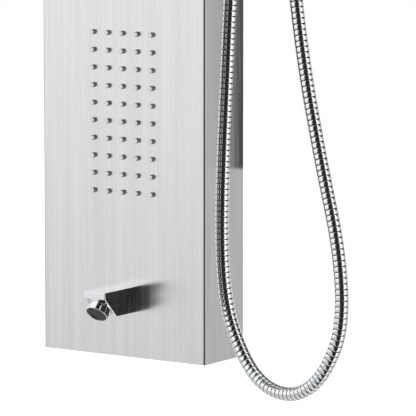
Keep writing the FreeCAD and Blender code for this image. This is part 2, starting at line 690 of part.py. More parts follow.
def make_mixer():
    """Make the single-lever mixer: body, nuts, cover, cartridge, carrier, stem and handle."""
    z = level(MIXER_HEIGHT)
    body = make_valve_body(MIXER_HEIGHT, MIXER_NECK_RADIUS, MIXER_NECK_STAND, CARTRIDGE_RADIUS)
    union_reach = VALVE_RADIUS + UNION_STAND
    outlet_top = z + union_reach
    body = body.fuse(rod((0, HOSE_Y, z), (0, 0, 1), WATER_TUBE_RADIUS + UNION_WALL, union_reach))
    inlet_low = z - VALVE_RADIUS - INLET_LENGTH
    inlet_xs = (-INLET_SPACING / 2, INLET_SPACING / 2)
    for x in inlet_xs:
        body = body.fuse(rod((x, HOSE_Y, z), (0, 0, -1), INLET_BOSS_RADIUS, VALVE_RADIUS))
        body = body.fuse(rod((x, HOSE_Y, inlet_low), (0, 0, 1), HALF_INCH_RADIUS, INLET_LENGTH))
    for x in inlet_xs:
        inlet_start = (x, HOSE_Y, inlet_low - OVERCUT)
        body = body.cut(rod(inlet_start, (0, 0, 1), HALF_INCH_BORE, INLET_LENGTH + 2 * OVERCUT))
    water_bore = WATER_TUBE_RADIUS - WATER_TUBE_WALL
    waterway = rod((0, HOSE_Y, outlet_top + OVERCUT), (0, 0, -1), water_bore, VALVE_RADIUS)
    PARTS["mixer_body"] = body.cut(waterway).removeSplitter()

    nut_depth = NECK_NUT_DEPTH
    nut_radius = MIXER_NECK_RADIUS + NECK_NUT_WALL
    PARTS["mixer_retaining_nut"] = tube(
        (0, FRONT, z), (0, -1, 0), nut_radius, MIXER_NECK_RADIUS + THREAD_GAP, nut_depth
    )

    # The dome cover and the handle's skirt are spheres about the lever's own pivot.
    base_front = nut_depth + COVER_WALL
    ledge = nut_depth + BORE_GAP
    edge_round = COVER_ROUND * (1 - math.sqrt(0.5))
    opening = math.radians(DOME_OPENING)
    inner_radius = DOME_RADIUS - DOME_WALL
    lip = DOME_RADIUS * math.sin(opening)
    outer_foot = (math.sqrt(DOME_RADIUS ** 2 - (base_front - MIXER_PIVOT) ** 2), base_front)
    inner_foot = (math.sqrt(inner_radius ** 2 - (ledge - MIXER_PIVOT) ** 2), ledge)
    outer_lip = (lip, MIXER_PIVOT + DOME_RADIUS * math.cos(opening))
    inner_lip = (lip, MIXER_PIVOT + math.sqrt(inner_radius ** 2 - lip ** 2))
    rim = ESCUTCHEON_RADIUS
    recess = nut_radius + NUT_RECESS_GAP
    half_way = math.radians(DOME_MIDDLE)
    outer_middle = (DOME_RADIUS * math.sin(half_way), MIXER_PIVOT + DOME_RADIUS * math.cos(half_way))
    inner_middle = (inner_radius * math.sin(half_way), MIXER_PIVOT + inner_radius * math.cos(half_way))
    round_start = (rim, base_front - COVER_ROUND)
    round_middle = (rim - edge_round, base_front - edge_round)
    round_end = (rim - COVER_ROUND, base_front)
    PARTS["mixer_cover"] = turned([
        ((recess, 0), (rim, 0)),
        ((rim, 0), round_start),
        (round_start, round_middle, round_end),
        (round_end, outer_foot),
        (outer_foot, outer_middle, outer_lip),
        (outer_lip, inner_lip),
        (inner_lip, inner_middle, inner_foot),
        (inner_foot, (recess, ledge)),
        ((recess, ledge), (recess, 0)),
    ], MIXER_HEIGHT)
    pivot = Vector(0, FRONT - MIXER_PIVOT, z)

    start = (0, FRONT - MIXER_CARTRIDGE_STAND, z)
    cartridge = rod(start, (0, 1, 0), CARTRIDGE_RADIUS, MIXER_CARTRIDGE_STAND + CARTRIDGE_DEPTH)
    cup = rod(start, (0, 1, 0), CARRIER_RADIUS + RUNNING_GAP, MIXER_CARTRIDGE_STAND + CUP_DEPTH)
    PARTS["mixer_cartridge"] = cartridge.cut(cup)

    carrier_back = CUP_DEPTH - BORE_GAP
    carrier_start = (0, FRONT + carrier_back, z)
    carrier = rod(carrier_start, (0, -1, 0), CARRIER_RADIUS, carrier_back + CARRIER_STAND)
    slot_half = STEM_SIZE / 2 + BORE_GAP
    slot_front = FRONT - CARRIER_STAND - OVERCUT
    slot = block(-slot_half, slot_half, slot_front, pivot.y + CARRIER_SLOT_BACK, z - SIDE, z + SIDE)
    carrier = carrier.cut(slot)
    PARTS["mixer_carrier"] = carrier.cut(rod((-SIDE, pivot.y, z), (1, 0, 0), PIN_RADIUS + PIN_GAP, 2 * SIDE))
    pin_half = CARRIER_RADIUS - PIN_INSET
    PARTS["mixer_pivot_pin"] = rod((-pin_half, pivot.y, z), (1, 0, 0), PIN_RADIUS, 2 * pin_half)

    stem_back = pivot.y + STEM_BACK
    stem_front = pivot.y - STEM_FRONT
    half = STEM_SIZE / 2
    stem = block(-half, half, stem_front, stem_back, z - half, z + half)
    PARTS["mixer_stem"] = stem.cut(rod((-SIDE, pivot.y, z), (1, 0, 0), PIN_RADIUS + RUNNING_GAP, 2 * SIDE))

    hub_back = pivot.y - MIXER_HUB_START
    hub = rod((0, hub_back, z), (0, -1, 0), MIXER_HUB_RADIUS, MIXER_HUB_DEPTH)
    hub_front = hub_back - MIXER_HUB_DEPTH
    hub = hub.makeFillet(HANDLE_ROUND, rim_at(hub, hub_front))
    lever_half = LEVER_WIDTH / 2
    lever = block(-lever_half, lever_half, hub_front, hub_front + LEVER_THICKNESS, z, z + LEVER_LENGTH)
    lever = lever.makeFillet(HANDLE_ROUND, [edge for edge in lever.Edges if edge.BoundBox.ZMax > z + 1])
    handle = hub.fuse(lever).cut(Part.makeSphere(DOME_RADIUS + SKIRT_GAP, pivot))
    socket = half + THREAD_GAP
    handle = handle.cut(block(-socket, socket, stem_front, stem_back, z - socket, z + socket))
    screw_y = pivot.y - MIXER_SCREW_PLACE
    screw_start = (0, screw_y, z - MIXER_HUB_RADIUS)
    screw_length = MIXER_HUB_RADIUS - half
    handle = handle.cut(rod(screw_start, (0, 0, 1), STUD_RADIUS + THREAD_GAP, screw_length))
    PARTS["mixer_handle"] = handle.removeSplitter()
    PARTS["mixer_set_screw"] = rod((0, screw_y, z - half), (0, 0, -1), STUD_RADIUS, SET_SCREW_LENGTH)
    return outlet_top


def make_diverter():
    """Make the five-way diverter: body with hose spigots, nuts, cartridge, spindle and knob."""
    z = level(DIVERTER_HEIGHT)
    neck_stand = DIVERTER_NECK_STAND
    body = make_valve_body(DIVERTER_HEIGHT, DIVERTER_NECK_RADIUS, neck_stand, DIVERTER_CARTRIDGE_RADIUS)
    inlet_low = z - VALVE_RADIUS - UNION_STAND
    body = body.fuse(rod((0, HOSE_Y, inlet_low), (0, 0, 1), WATER_TUBE_RADIUS + UNION_WALL, VALVE_RADIUS))
    spigots = []
    bores = []
    for angle in SPIGOT_ANGLES.values():
        turn = math.radians(angle)
        direction = (math.cos(turn), 0, math.sin(turn))
        root = polar(VALVE_RADIUS - SPIGOT_ROOT, angle, 0, DIVERTER_HEIGHT)
        spigots.append(rod(root, direction, SPIGOT_RADIUS, SPIGOT_ROOT + SPIGOT_LENGTH))
        bore_start = polar(VALVE_RADIUS / 2, angle, 0, DIVERTER_HEIGHT)
        bores.append(rod(bore_start, direction, SPIGOT_BORE, VALVE_RADIUS))
    body = body.fuse(spigots).cut(Part.makeCompound(bores))
    water_bore = WATER_TUBE_RADIUS - WATER_TUBE_WALL
    waterway = rod((0, HOSE_Y, inlet_low - OVERCUT), (0, 0, 1), water_bore, VALVE_RADIUS)
    PARTS["diverter_body"] = body.cut(waterway).removeSplitter()

    nut_depth = NECK_NUT_DEPTH
    nut_radius = DIVERTER_NECK_RADIUS + NECK_NUT_WALL
    PARTS["diverter_retaining_nut"] = tube(
        (0, FRONT, z), (0, -1, 0), nut_radius, DIVERTER_NECK_RADIUS + THREAD_GAP, nut_depth
    )
    cover_depth = nut_depth + COVER_WALL
    cover = rod((0, FRONT, z), (0, -1, 0), ESCUTCHEON_RADIUS, cover_depth)
    cover = cover.makeFillet(COVER_ROUND, rim_at(cover, FRONT - cover_depth))
    cover = cover.cut(rod((0, FRONT, z), (0, -1, 0), nut_radius + NUT_RECESS_GAP, nut_depth + BORE_GAP))
    neck_hole = rod((0, FRONT, z), (0, -1, 0), DIVERTER_NECK_RADIUS + HOLE_GAP, cover_depth)
    PARTS["diverter_cover"] = cover.cut(neck_hole)

    start = (0, FRONT - neck_stand, z)
    cartridge = rod(start, (0, 1, 0), DIVERTER_CARTRIDGE_RADIUS, neck_stand + CARTRIDGE_DEPTH)
    rotor_front = FRONT + ROTOR_SETBACK
    chamber_start = (0, rotor_front - BORE_GAP, z)
    chamber = rod(chamber_start, (0, 1, 0), ROTOR_RADIUS + RUNNING_GAP, ROTOR_LENGTH + 2 * BORE_GAP)
    bore = rod(start, (0, 1, 0), SPINDLE_RADIUS + RUNNING_GAP, neck_stand + CARTRIDGE_DEPTH / 2)
    PARTS["diverter_cartridge"] = cartridge.cut(chamber).cut(bore)

    spindle_front = FRONT - KNOB_START - KNOB_DEPTH + KNOB_SKIN
    spindle = rod((0, rotor_front, z), (0, 1, 0), ROTOR_RADIUS, ROTOR_LENGTH)
    spindle = spindle.fuse(rod((0, rotor_front, z), (0, -1, 0), SPINDLE_RADIUS, rotor_front - spindle_front))
    PARTS["diverter_spindle"] = spindle

    knob_back = FRONT - KNOB_START
    knob_front = knob_back - KNOB_DEPTH
    knob = rod((0, knob_back, z), (0, -1, 0), KNOB_RADIUS, KNOB_DEPTH)
    knob = knob.makeFillet(HANDLE_ROUND, rim_at(knob, knob_front))
    half = GRIP_WIDTH / 2
    reach = KNOB_RADIUS - GRIP_INSET
    grip = block(-half, half, knob_front - GRIP_HEIGHT, knob_front + OVERCUT, z - reach, z + reach)
    grip = grip.makeFillet(HANDLE_ROUND, [edge for edge in grip.Edges if edge.BoundBox.YMax < knob_front])
    knob = knob.fuse(grip)
    socket_depth = knob_back - spindle_front
    knob = knob.cut(rod((0, knob_back, z), (0, -1, 0), SPINDLE_RADIUS + THREAD_GAP, socket_depth))
    screw_y = knob_back - KNOB_SCREW_SETBACK
    screw_length = KNOB_RADIUS - SPINDLE_RADIUS
    knob = knob.cut(rod((0, screw_y, z - KNOB_RADIUS), (0, 0, 1), STUD_RADIUS + THREAD_GAP, screw_length))
    PARTS["diverter_knob"] = knob.removeSplitter()
    screw_start = (0, screw_y, z - SPINDLE_RADIUS)
    PARTS["diverter_set_screw"] = rod(screw_start, (0, 0, -1), STUD_RADIUS, SET_SCREW_LENGTH)
    return inlet_low


def make_water_tube(low, high):
    """Make the brass tube from the mixer up to the diverter, with its two union nuts."""
    bore = WATER_TUBE_RADIUS - WATER_TUBE_WALL
    PARTS["mixed_water_tube"] = tube((0, HOSE_Y, low), (0, 0, 1), WATER_TUBE_RADIUS, bore, high - low)
    nuts = []
    nut_bore = WATER_TUBE_RADIUS + THREAD_GAP
    for start, sign in ((low, 1), (high, -1)):
        nuts.append(hexagon((0, HOSE_Y, start), (0, 0, sign), UNION_NUT_ACROSS, nut_bore, UNION_NUT_HEIGHT))
    PARTS["water_tube_nuts"] = Part.makeCompound(nuts)


# ---------------------------------------------------------------- tub spout
def make_spout():
    """Make the square tub spout, its tail, gasket, nut and elbow, and the aerator in its chamfer."""
    z = level(SPOUT_HEIGHT)
    half = SPOUT_SECTION / 2
    tip = FRONT - SPOUT_REACH
    outline = [
        Vector(-half, FRONT, z - half),
        Vector(-half, FRONT, z + half),
        Vector(-half, tip, z + half),
        Vector(-half, tip, z + half - SPOUT_LIP),
        Vector(-half, tip + SPOUT_CHAMFER_RUN, z - half),
    ]
    spout = Part.Face(Part.makePolygon(outline + outline[:1])).extrude(Vector(SPOUT_SECTION, 0, 0))
    spout = spout.makeFillet(SPOUT_ROUND, [edge for edge in spout.Edges if edge.BoundBox.YMin < FRONT - 1e-3])
    slope = Vector(0, SPOUT_CHAMFER_RUN, -(SPOUT_SECTION - SPOUT_LIP))
    outward = Vector(0, slope.z, -slope.y).normalize()
    middle = outline[3] + slope * 0.5 + Vector(half, 0, 0)
    tail_start = (0, FRONT, z)
    spout = spout.fuse(rod(tail_start, (0, 1, 0), HALF_INCH_RADIUS, SPOUT_TAIL))
    inner_depth = (outline[3].y + outline[4].y) / 2
    tail_back = FRONT + SPOUT_TAIL
    waterway = rod((0, tail_back, z), (0, -1, 0), HALF_INCH_BORE, tail_back - inner_depth - SPOUT_BORE_END)
    seat_start = tuple(middle - outward * AERATOR_SEAT)
    seat = rod(seat_start, tuple(outward), AERATOR_RADIUS + THREAD_GAP, 2 * AERATOR_SEAT)
    PARTS["spout_body"] = spout.cut(waterway).cut(seat).removeSplitter()

    shell_length = AERATOR_SET_IN + AERATOR_STAND
    shell_start = middle - outward * AERATOR_SET_IN
    shell = rod(tuple(shell_start), tuple(outward), AERATOR_RADIUS, shell_length)
    mouth = middle + outward * AERATOR_STAND
    rim = [edge for edge in shell.Edges if (edge.BoundBox.Center - mouth).Length < 1e-6]
    shell = shell.makeFillet(AERATOR_ROUND, rim)
    bore = AERATOR_RADIUS - AERATOR_WALL
    shell = shell.cut(rod(tuple(shell_start), tuple(outward), bore, shell_length))
    ledge_radius = bore + AERATOR_WALL / 2
    ledge = tube(tuple(shell_start), tuple(outward), ledge_radius, bore - AERATOR_LEDGE, AERATOR_LEDGE)
    PARTS["aerator_housing"] = shell.fuse(ledge).removeSplitter()
    screen_start = shell_start + outward * AERATOR_LEDGE
    screen_length = shell_length - AERATOR_LEDGE - AERATOR_RECESS
    screen = rod(tuple(screen_start), tuple(outward), bore - THREAD_GAP, screen_length)
    across = outward.cross(Vector(1, 0, 0))
    pitch = AERATOR_HOLE_PITCH
    field = bore - 2 * AERATOR_HOLE_RADIUS
    steps = int(field / pitch)
    holes = []
    for i in range(-steps, steps + 1):
        for j in range(-steps, steps + 1):
            if math.hypot(i, j) * pitch < field:
                place = screen_start + Vector(i * pitch, 0, 0) + across * (j * pitch) - outward * OVERCUT
                hole = rod(tuple(place), tuple(outward), AERATOR_HOLE_RADIUS, screen_length + 2 * OVERCUT)
                holes.append(hole)
    PARTS["aerator_insert"] = screen.cut(Part.makeCompound(holes))

    bore = HALF_INCH_RADIUS + THREAD_GAP
    PARTS["spout_gasket"] = tube((0, INSIDE, z), (0, 1, 0), NUT_ACROSS / 2, bore, GASKET_THICKNESS)
    nut_start = INSIDE + GASKET_THICKNESS
    PARTS["spout_nut"] = hexagon((0, nut_start, z), (0, 1, 0), NUT_ACROSS, bore, NUT_HEIGHT)
    elbow_front = nut_start + NUT_HEIGHT + BORE_GAP
    elbow_half = HALF_INCH_RADIUS + ELBOW_WALL
    elbow = block(-elbow_half, elbow_half, elbow_front, ELBOW_BACK, z - elbow_half, z + elbow_half)
    elbow = elbow.fuse(rod((0, HOSE_Y, z), (0, 0, 1), SPIGOT_RADIUS, elbow_half + SPIGOT_LENGTH))
    elbow = elbow.cut(rod((0, elbow_front, z), (0, 1, 0), bore, tail_back - elbow_front + BORE_GAP))
    elbow = elbow.cut(rod((0, elbow_front, z), (0, 1, 0), ELBOW_THROAT, HOSE_Y - elbow_front))
    elbow = elbow.cut(rod((0, HOSE_Y, z), (0, 0, 1), SPIGOT_BORE, elbow_half + SPIGOT_LENGTH + OVERCUT))
    PARTS["spout_elbow"] = elbow.removeSplitter()
    return z + elbow_half + BORE_GAP


# ---------------------------------------------------------------- hand shower
def holder_screw_places():
    """Return the Y and Z of the two screws of the hand shower's holder."""
    reach = HOLDER_PLATE / 2 - HOLDER_SCREW_INSET
    middle = level(HOLDER_HEIGHT) + HOLDER_CUP_HEIGHT / 2
    y = HOLDER_Y + HOLDER_ARM_SETBACK
    return [(y, middle - reach), (y, middle + reach)]


def make_outlet():
    """Make the hand shower's outlet on the side: elbow, gasket, nut and the inner elbow."""
    z = level(OUTLET_HEIGHT)
    half = OUTLET_BLOCK / 2
    flange_half = OUTLET_FLANGE / 2
    flange_end = SIDE + OUTLET_FLANGE_THICKNESS
    y_low, y_high = OUTLET_Y - flange_half, OUTLET_Y + flange_half
    flange = block(SIDE, flange_end, y_low, y_high, z - flange_half, z + flange_half)
    outer_edges = [edge for edge in flange.Edges if edge.BoundBox.XMin > SIDE + 1]
    flange = flange.makeFillet(FITTING_ROUND, outer_edges)
    cube = block(SIDE, OUTLET_X + half, OUTLET_Y - half, OUTLET_Y + half, z - half, z + half)
    cube = cube.makeFillet(FITTING_ROUND, [edge for edge in cube.Edges if edge.BoundBox.XMax > SIDE + 1])
    low = z - half - OUTLET_THREAD
    thread = rod((OUTLET_X, OUTLET_Y, low), (0, 0, 1), HALF_INCH_RADIUS, OUTLET_THREAD + half)
    tail = OUTLET_TAIL
    shank = rod((SIDE, OUTLET_Y, z), (-1, 0, 0), HALF_INCH_RADIUS, tail)
    elbow = cube.fuse([flange, thread, shank])
    elbow = elbow.cut(rod((SIDE - tail, OUTLET_Y, z), (1, 0, 0), HALF_INCH_BORE, OUTLET_X - SIDE + tail))
    elbow = elbow.cut(rod((OUTLET_X, OUTLET_Y, low), (0, 0, 1), HALF_INCH_BORE, z - low))
    PARTS["outlet_elbow"] = elbow.removeSplitter()

    bore = HALF_INCH_RADIUS + THREAD_GAP
    inner_side = SIDE - SHEET
    gasket_start = (inner_side, OUTLET_Y, z)
    PARTS["outlet_gasket"] = tube(gasket_start, (-1, 0, 0), NUT_ACROSS / 2, bore, GASKET_THICKNESS)
    nut_start = inner_side - GASKET_THICKNESS
    PARTS["outlet_nut"] = hexagon((nut_start, OUTLET_Y, z), (-1, 0, 0), NUT_ACROSS, bore, OUTLET_NUT_HEIGHT)
    elbow_end = nut_start - OUTLET_NUT_HEIGHT - BORE_GAP
    low_x = FEED_RUN_X - SPIGOT_RADIUS - ELBOW_WALL
    side_half = HALF_INCH_RADIUS + ELBOW_WALL
    y_low, y_high = OUTLET_Y - side_half, max(OUTLET_Y + side_half, ELBOW_BACK)
    inner = block(low_x, elbow_end, y_low, y_high, z - side_half, z + side_half)
    spigot_length = side_half + SPIGOT_LENGTH
    inner = inner.fuse(rod((FEED_RUN_X, HOSE_Y, z), (0, 0, -1), SPIGOT_RADIUS, spigot_length))
    socket = elbow_end - (SIDE - tail) + BORE_GAP
    inner = inner.cut(rod((elbow_end, OUTLET_Y, z), (-1, 0, 0), bore, socket))
    throat = elbow_end - FEED_RUN_X + ELBOW_THROAT / 2
    inner = inner.cut(rod((elbow_end, OUTLET_Y, z), (-1, 0, 0), ELBOW_THROAT, throat))
    cross = HOSE_Y - OUTLET_Y + SPIGOT_BORE
    inner = inner.cut(rod((FEED_RUN_X, OUTLET_Y - SPIGOT_BORE, z), (0, 1, 0), SPIGOT_BORE, cross))
    inner = inner.cut(rod((FEED_RUN_X, HOSE_Y, z), (0, 0, -1), SPIGOT_BORE, spigot_length + OVERCUT))
    PARTS["outlet_inner_elbow"] = inner.removeSplitter()
    return low, z - side_half - BORE_GAP


def make_hose(thread_low):
    """Make the free hose with the round nut at its fixed end."""
    nut_top = thread_low + HOSE_NUT_OVERLAP
    nut_low = nut_top - HOSE_NUT_HEIGHT
    nut = rod((OUTLET_X, OUTLET_Y, nut_low), (0, 0, 1), HOSE_NUT_RADIUS, HOSE_NUT_HEIGHT)
    rim = [edge for edge in nut.Edges if abs(edge.BoundBox.ZMax - nut_low) < 1e-6]
    nut = nut.makeFillet(HOSE_NUT_ROUND, rim)
    thread_start = (OUTLET_X, OUTLET_Y, thread_low)
    nut = nut.cut(rod(thread_start, (0, 0, 1), HALF_INCH_RADIUS + THREAD_GAP, HOSE_NUT_HEIGHT))
    PARTS["hose_nut"] = nut.cut(rod((OUTLET_X, OUTLET_Y, nut_low), (0, 0, 1), HOSE_BORE, HOSE_NUT_HEIGHT))
    cone_low = level(HOLDER_HEIGHT) - CONE_DROP
    start = (OUTLET_X, OUTLET_Y, nut_low)
    end = (HOLDER_X, HOLDER_Y, cone_low)
    points = [start] + [(x, y, level(height)) for x, y, height in HOSE_ROUTE] + [end]
    PARTS["shower_hose"] = swept(points, HOSE_RADIUS)


def make_holder_and_handset():
    """Make the side holder, the cone nut that rests in it and the hand shower."""
    low = level(HOLDER_HEIGHT)
    high = low + HOLDER_CUP_HEIGHT
    cone_low = low - CONE_DROP
    slope = (CONE_RADIUS_HIGH - CONE_RADIUS_LOW) / CONE_LENGTH
    centre = Vector(HOLDER_X, HOLDER_Y, 0)
    plate_half = HOLDER_PLATE / 2
    middle = (low + high) / 2
    plate_y = HOLDER_Y + HOLDER_PLATE_SETBACK
    plate_side = SIDE + HOLDER_PLATE_THICKNESS
    y_low, y_high = plate_y - plate_half, plate_y + plate_half
    plate = block(SIDE, plate_side, y_low, y_high, middle - plate_half, middle + plate_half)
    plate = plate.makeFillet(FITTING_ROUND, [edge for edge in plate.Edges if edge.BoundBox.XMin > SIDE + 1])
    arm_half = HOLDER_ARM / 2
    arm_y = HOLDER_Y + HOLDER_ARM_SETBACK
    arm = block(SIDE, HOLDER_X, arm_y - arm_half, arm_y + arm_half, middle - arm_half, middle + arm_half)
    arm = arm.makeFillet(FITTING_ROUND, [edge for edge in arm.Edges if is_along(edge, Vector(1, 0, 0))])
    cup = rod((HOLDER_X, HOLDER_Y, low), (0, 0, 1), HOLDER_CUP_RADIUS, HOLDER_CUP_HEIGHT)
    cup = cup.makeFillet(FITTING_ROUND, [edge for edge in cup.Edges if not is_along(edge, Vector(0, 0, 1))])
    seat_low = CONE_RADIUS_LOW + slope * (CONE_DROP - OVERCUT) + CONE_GAP
    seat_high = CONE_RADIUS_LOW + slope * (CONE_DROP + HOLDER_CUP_HEIGHT + OVERCUT) + CONE_GAP
    seat_start = centre + Vector(0, 0, low - OVERCUT)
    seat = Part.makeCone(seat_low, seat_high, HOLDER_CUP_HEIGHT + 2 * OVERCUT, seat_start)
    half = HOLDER_SLOT / 2
    slot_front = HOLDER_Y - 2 * HOLDER_CUP_RADIUS
    slot = block(HOLDER_X - half, HOLDER_X + half, slot_front, HOLDER_Y, low - OVERCUT, high + OVERCUT)
    holder = plate.fuse([arm, cup]).cut(seat).cut(slot)
    screws = []
    shank_length = SHEET + HOLDER_SCREW_REACH
    screw_depth = HOLDER_SCREW_REACH + HOLE_GAP
    for y, z in holder_screw_places():
        holder = holder.cut(rod((SIDE, y, z), (1, 0, 0), STUD_RADIUS + THREAD_GAP, screw_depth))
        shank = rod((SIDE - SHEET, y, z), (1, 0, 0), STUD_RADIUS, shank_length)
        screws.append(shank.fuse(rod((SIDE - SHEET, y, z), (-1, 0, 0), 2 * STUD_RADIUS, STUD_RADIUS)))
    PARTS["handset_holder"] = holder.removeSplitter()
    PARTS["holder_screws"] = Part.makeCompound(screws)

    cone = Part.makeCone(CONE_RADIUS_LOW, CONE_RADIUS_HIGH, CONE_LENGTH, centre + Vector(0, 0, cone_low))
    socket_low = cone_low + CONE_LENGTH - NIPPLE_LENGTH - BORE_GAP
    socket_start = (HOLDER_X, HOLDER_Y, socket_low)
    cone = cone.cut(rod(socket_start, (0, 0, 1), NIPPLE_RADIUS + RUNNING_GAP, CONE_LENGTH))
    cone = cone.cut(rod((HOLDER_X, HOLDER_Y, cone_low), (0, 0, 1), CONE_BORE, CONE_LENGTH))
    PARTS["hose_cone_nut"] = cone

    cone_top = cone_low + CONE_LENGTH
    handset_low = cone_top + RUNNING_GAP
    half = HANDSET_SECTION / 2
    handset_high = handset_low + HANDSET_LENGTH
    bar = block(HOLDER_X - half, HOLDER_X + half, HOLDER_Y - half, HOLDER_Y + half, handset_low, handset_high)
    bar = bar.makeFillet(HANDSET_ROUND, bar.Edges)
    nipple_low = cone_top - NIPPLE_LENGTH
    nipple = rod((HOLDER_X, HOLDER_Y, nipple_low), (0, 0, 1), NIPPLE_RADIUS, NIPPLE_LENGTH + NIPPLE_ROOT)
    body = bar.fuse(nipple)
    inner = half - HANDSET_WALL
    body = body.cut(block(
        HOLDER_X - inner, HOLDER_X + inner, HOLDER_Y - inner, HOLDER_Y + inner,
        handset_low + 2 * HANDSET_WALL, handset_high - HANDSET_WALL,
    ))
    bore_length = NIPPLE_LENGTH + 4 * HANDSET_WALL
    body = body.cut(rod((HOLDER_X, HOLDER_Y, nipple_low), (0, 0, 1), HOSE_BORE, bore_length))
    face_high = handset_high - FACE_DROP
    face_low = face_high - FACE_LENGTH
    front = HOLDER_Y - half
    recess = FACE_WIDTH / 2
    pad_front = front + HANDSET_WALL
    window = block(HOLDER_X - recess, HOLDER_X + recess, front, pad_front, face_low, face_high)
    PARTS["handset_body"] = body.cut(window).removeSplitter()
    half_face = recess - BORE_GAP
    face_back = front + FACE_THICKNESS
    x_low, x_high = HOLDER_X - half_face, HOLDER_X + half_face
    face = block(x_low, x_high, front, face_back, face_low + BORE_GAP, face_high - BORE_GAP)
    half_pad = inner - BORE_GAP
    pad_back = pad_front + SPRAY_PAD_THICKNESS
    x_low, x_high = HOLDER_X - half_pad, HOLDER_X + half_pad
    pad_low, pad_high = face_low - SPRAY_PAD_OVERLAP, face_high + SPRAY_PAD_OVERLAP
    pad = block(x_low, x_high, pad_front, pad_back, pad_low, pad_high)
    middle = (face_low + face_high) / 2
    nozzle_length = HANDSET_WALL + SPRAY_NOZZLE_STAND
    bore_length = SPRAY_PAD_THICKNESS + nozzle_length + 2 * OVERCUT
    drill = FACE_THICKNESS + 2 * OVERCUT
    nozzles = []
    bores = []
    holes = []
    for column in range(SPRAY_COLUMNS):
        for row in range(SPRAY_ROWS):
            x = HOLDER_X + (column - (SPRAY_COLUMNS - 1) / 2) * SPRAY_PITCH_X
            z = middle + (row - (SPRAY_ROWS - 1) / 2) * SPRAY_PITCH_Z
            nozzles.append(rod((x, pad_front, z), (0, -1, 0), SPRAY_NOZZLE_RADIUS, nozzle_length))
            bores.append(rod((x, pad_back + OVERCUT, z), (0, -1, 0), SPRAY_BORE_RADIUS, bore_length))
            holes.append(rod((x, front - OVERCUT, z), (0, 1, 0), SPRAY_NOZZLE_RADIUS + BORE_GAP, drill))
    PARTS["handset_face"] = face.cut(Part.makeCompound(holes))
    PARTS["handset_nozzles"] = pad.fuse(nozzles).cut(Part.makeCompound(bores))


# ---------------------------------------------------------------- hoses inside the panel
def corner_to_run(angle, run_x):
    """Return where a spigot's line meets a vertical run, from the diverter's axis."""
    radius = abs(run_x / math.cos(math.radians(angle)))
    return polar(radius, angle, 0, DIVERTER_HEIGHT)


def make_inner_hoses(rain_low, upper_low, lower_top, spout_top, feed_top):
    """Make the five hoses from the diverter and the clips at their ends."""
    root = VALVE_RADIUS + HOSE_END_GAP
    starts = {name: polar(root, angle, 0, DIVERTER_HEIGHT) for name, angle in SPIGOT_ANGLES.items()}
    run = -HOSE_RUN_X
    rain_corner = corner_to_run(SPIGOT_ANGLES["rain"], run)
    inner_hose("rain_hose", [starts["rain"], rain_corner, (run, HOSE_Y, rain_low)])
    inner_hose("upper_jet_hose", [starts["upper"], (0, HOSE_Y, upper_low)])
    lower_corner = corner_to_run(SPIGOT_ANGLES["lower"], run)
    inner_hose("lower_jet_hose", [starts["lower"], lower_corner, (run, HOSE_Y, lower_top)])
    inner_hose("spout_hose", [
        starts["spout"],
        corner_to_run(SPIGOT_ANGLES["spout"], HOSE_RUN_X),
        (HOSE_RUN_X, HOSE_Y, spout_top + SPOUT_HOSE_RUN + SPOUT_HOSE_SHIFT),
        (0, HOSE_Y, spout_top + SPOUT_HOSE_RUN),
        (0, HOSE_Y, spout_top),
    ])
    inner_hose("hand_shower_feed_hose", [
        starts["hand"],
        corner_to_run(SPIGOT_ANGLES["hand"], FEED_RUN_X),
        (FEED_RUN_X, HOSE_Y, feed_top),
    ])
    clips = []
    outer = SPIGOT_RADIUS + BORE_GAP + HOSE_WALL + THREAD_GAP
    for place, direction in HOSE_ENDS:
        clips.append(tube(tuple(place), tuple(direction), outer + CLIP_THICKNESS, outer, CLIP_WIDTH))
    PARTS["hose_clips"] = Part.makeCompound(clips)


def main():
    """Build every piece and write it to its own file."""
    make_body_shell()
    make_brackets()
    rain_low = make_rain_head()
    lower_top = make_jet_field("lower", LOWER_JETS_HEIGHT, -HOSE_RUN_X, 1)
    upper_low = make_jet_field("upper", UPPER_JETS_HEIGHT, 0.0, -1)
    tube_low = make_mixer()
    tube_high = make_diverter()
    make_water_tube(tube_low, tube_high)
    spout_top = make_spout()
    thread_low, feed_top = make_outlet()
    rain_hose_end = rain_low + SPIGOT_LENGTH + HOSE_END_GAP
    make_inner_hoses(rain_hose_end, upper_low, lower_top, spout_top, feed_top)
    make_hose(thread_low)
    make_holder_and_handset()
    os.makedirs("parts", exist_ok=True)
    for name, shape in PARTS.items():
        solids = len(shape.Solids)
        print("%-24s solids %2d valid %s volume %.0f" % (name, solids, shape.isValid(), shape.Volume))
        shape.exportStep("parts/%s.step" % name)
    print("nodes", len(PARTS))


main()
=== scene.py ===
"""Rainfall shower column: the finished look of the wall-hung panel, built round the CAD frame.

Everything is in metres in the CAD's frame: X across the panel, Y into the wall, Z up, with the origin
at the centre of the four wall screws.
"""

import json
import logging
import math
from dataclasses import dataclass, field

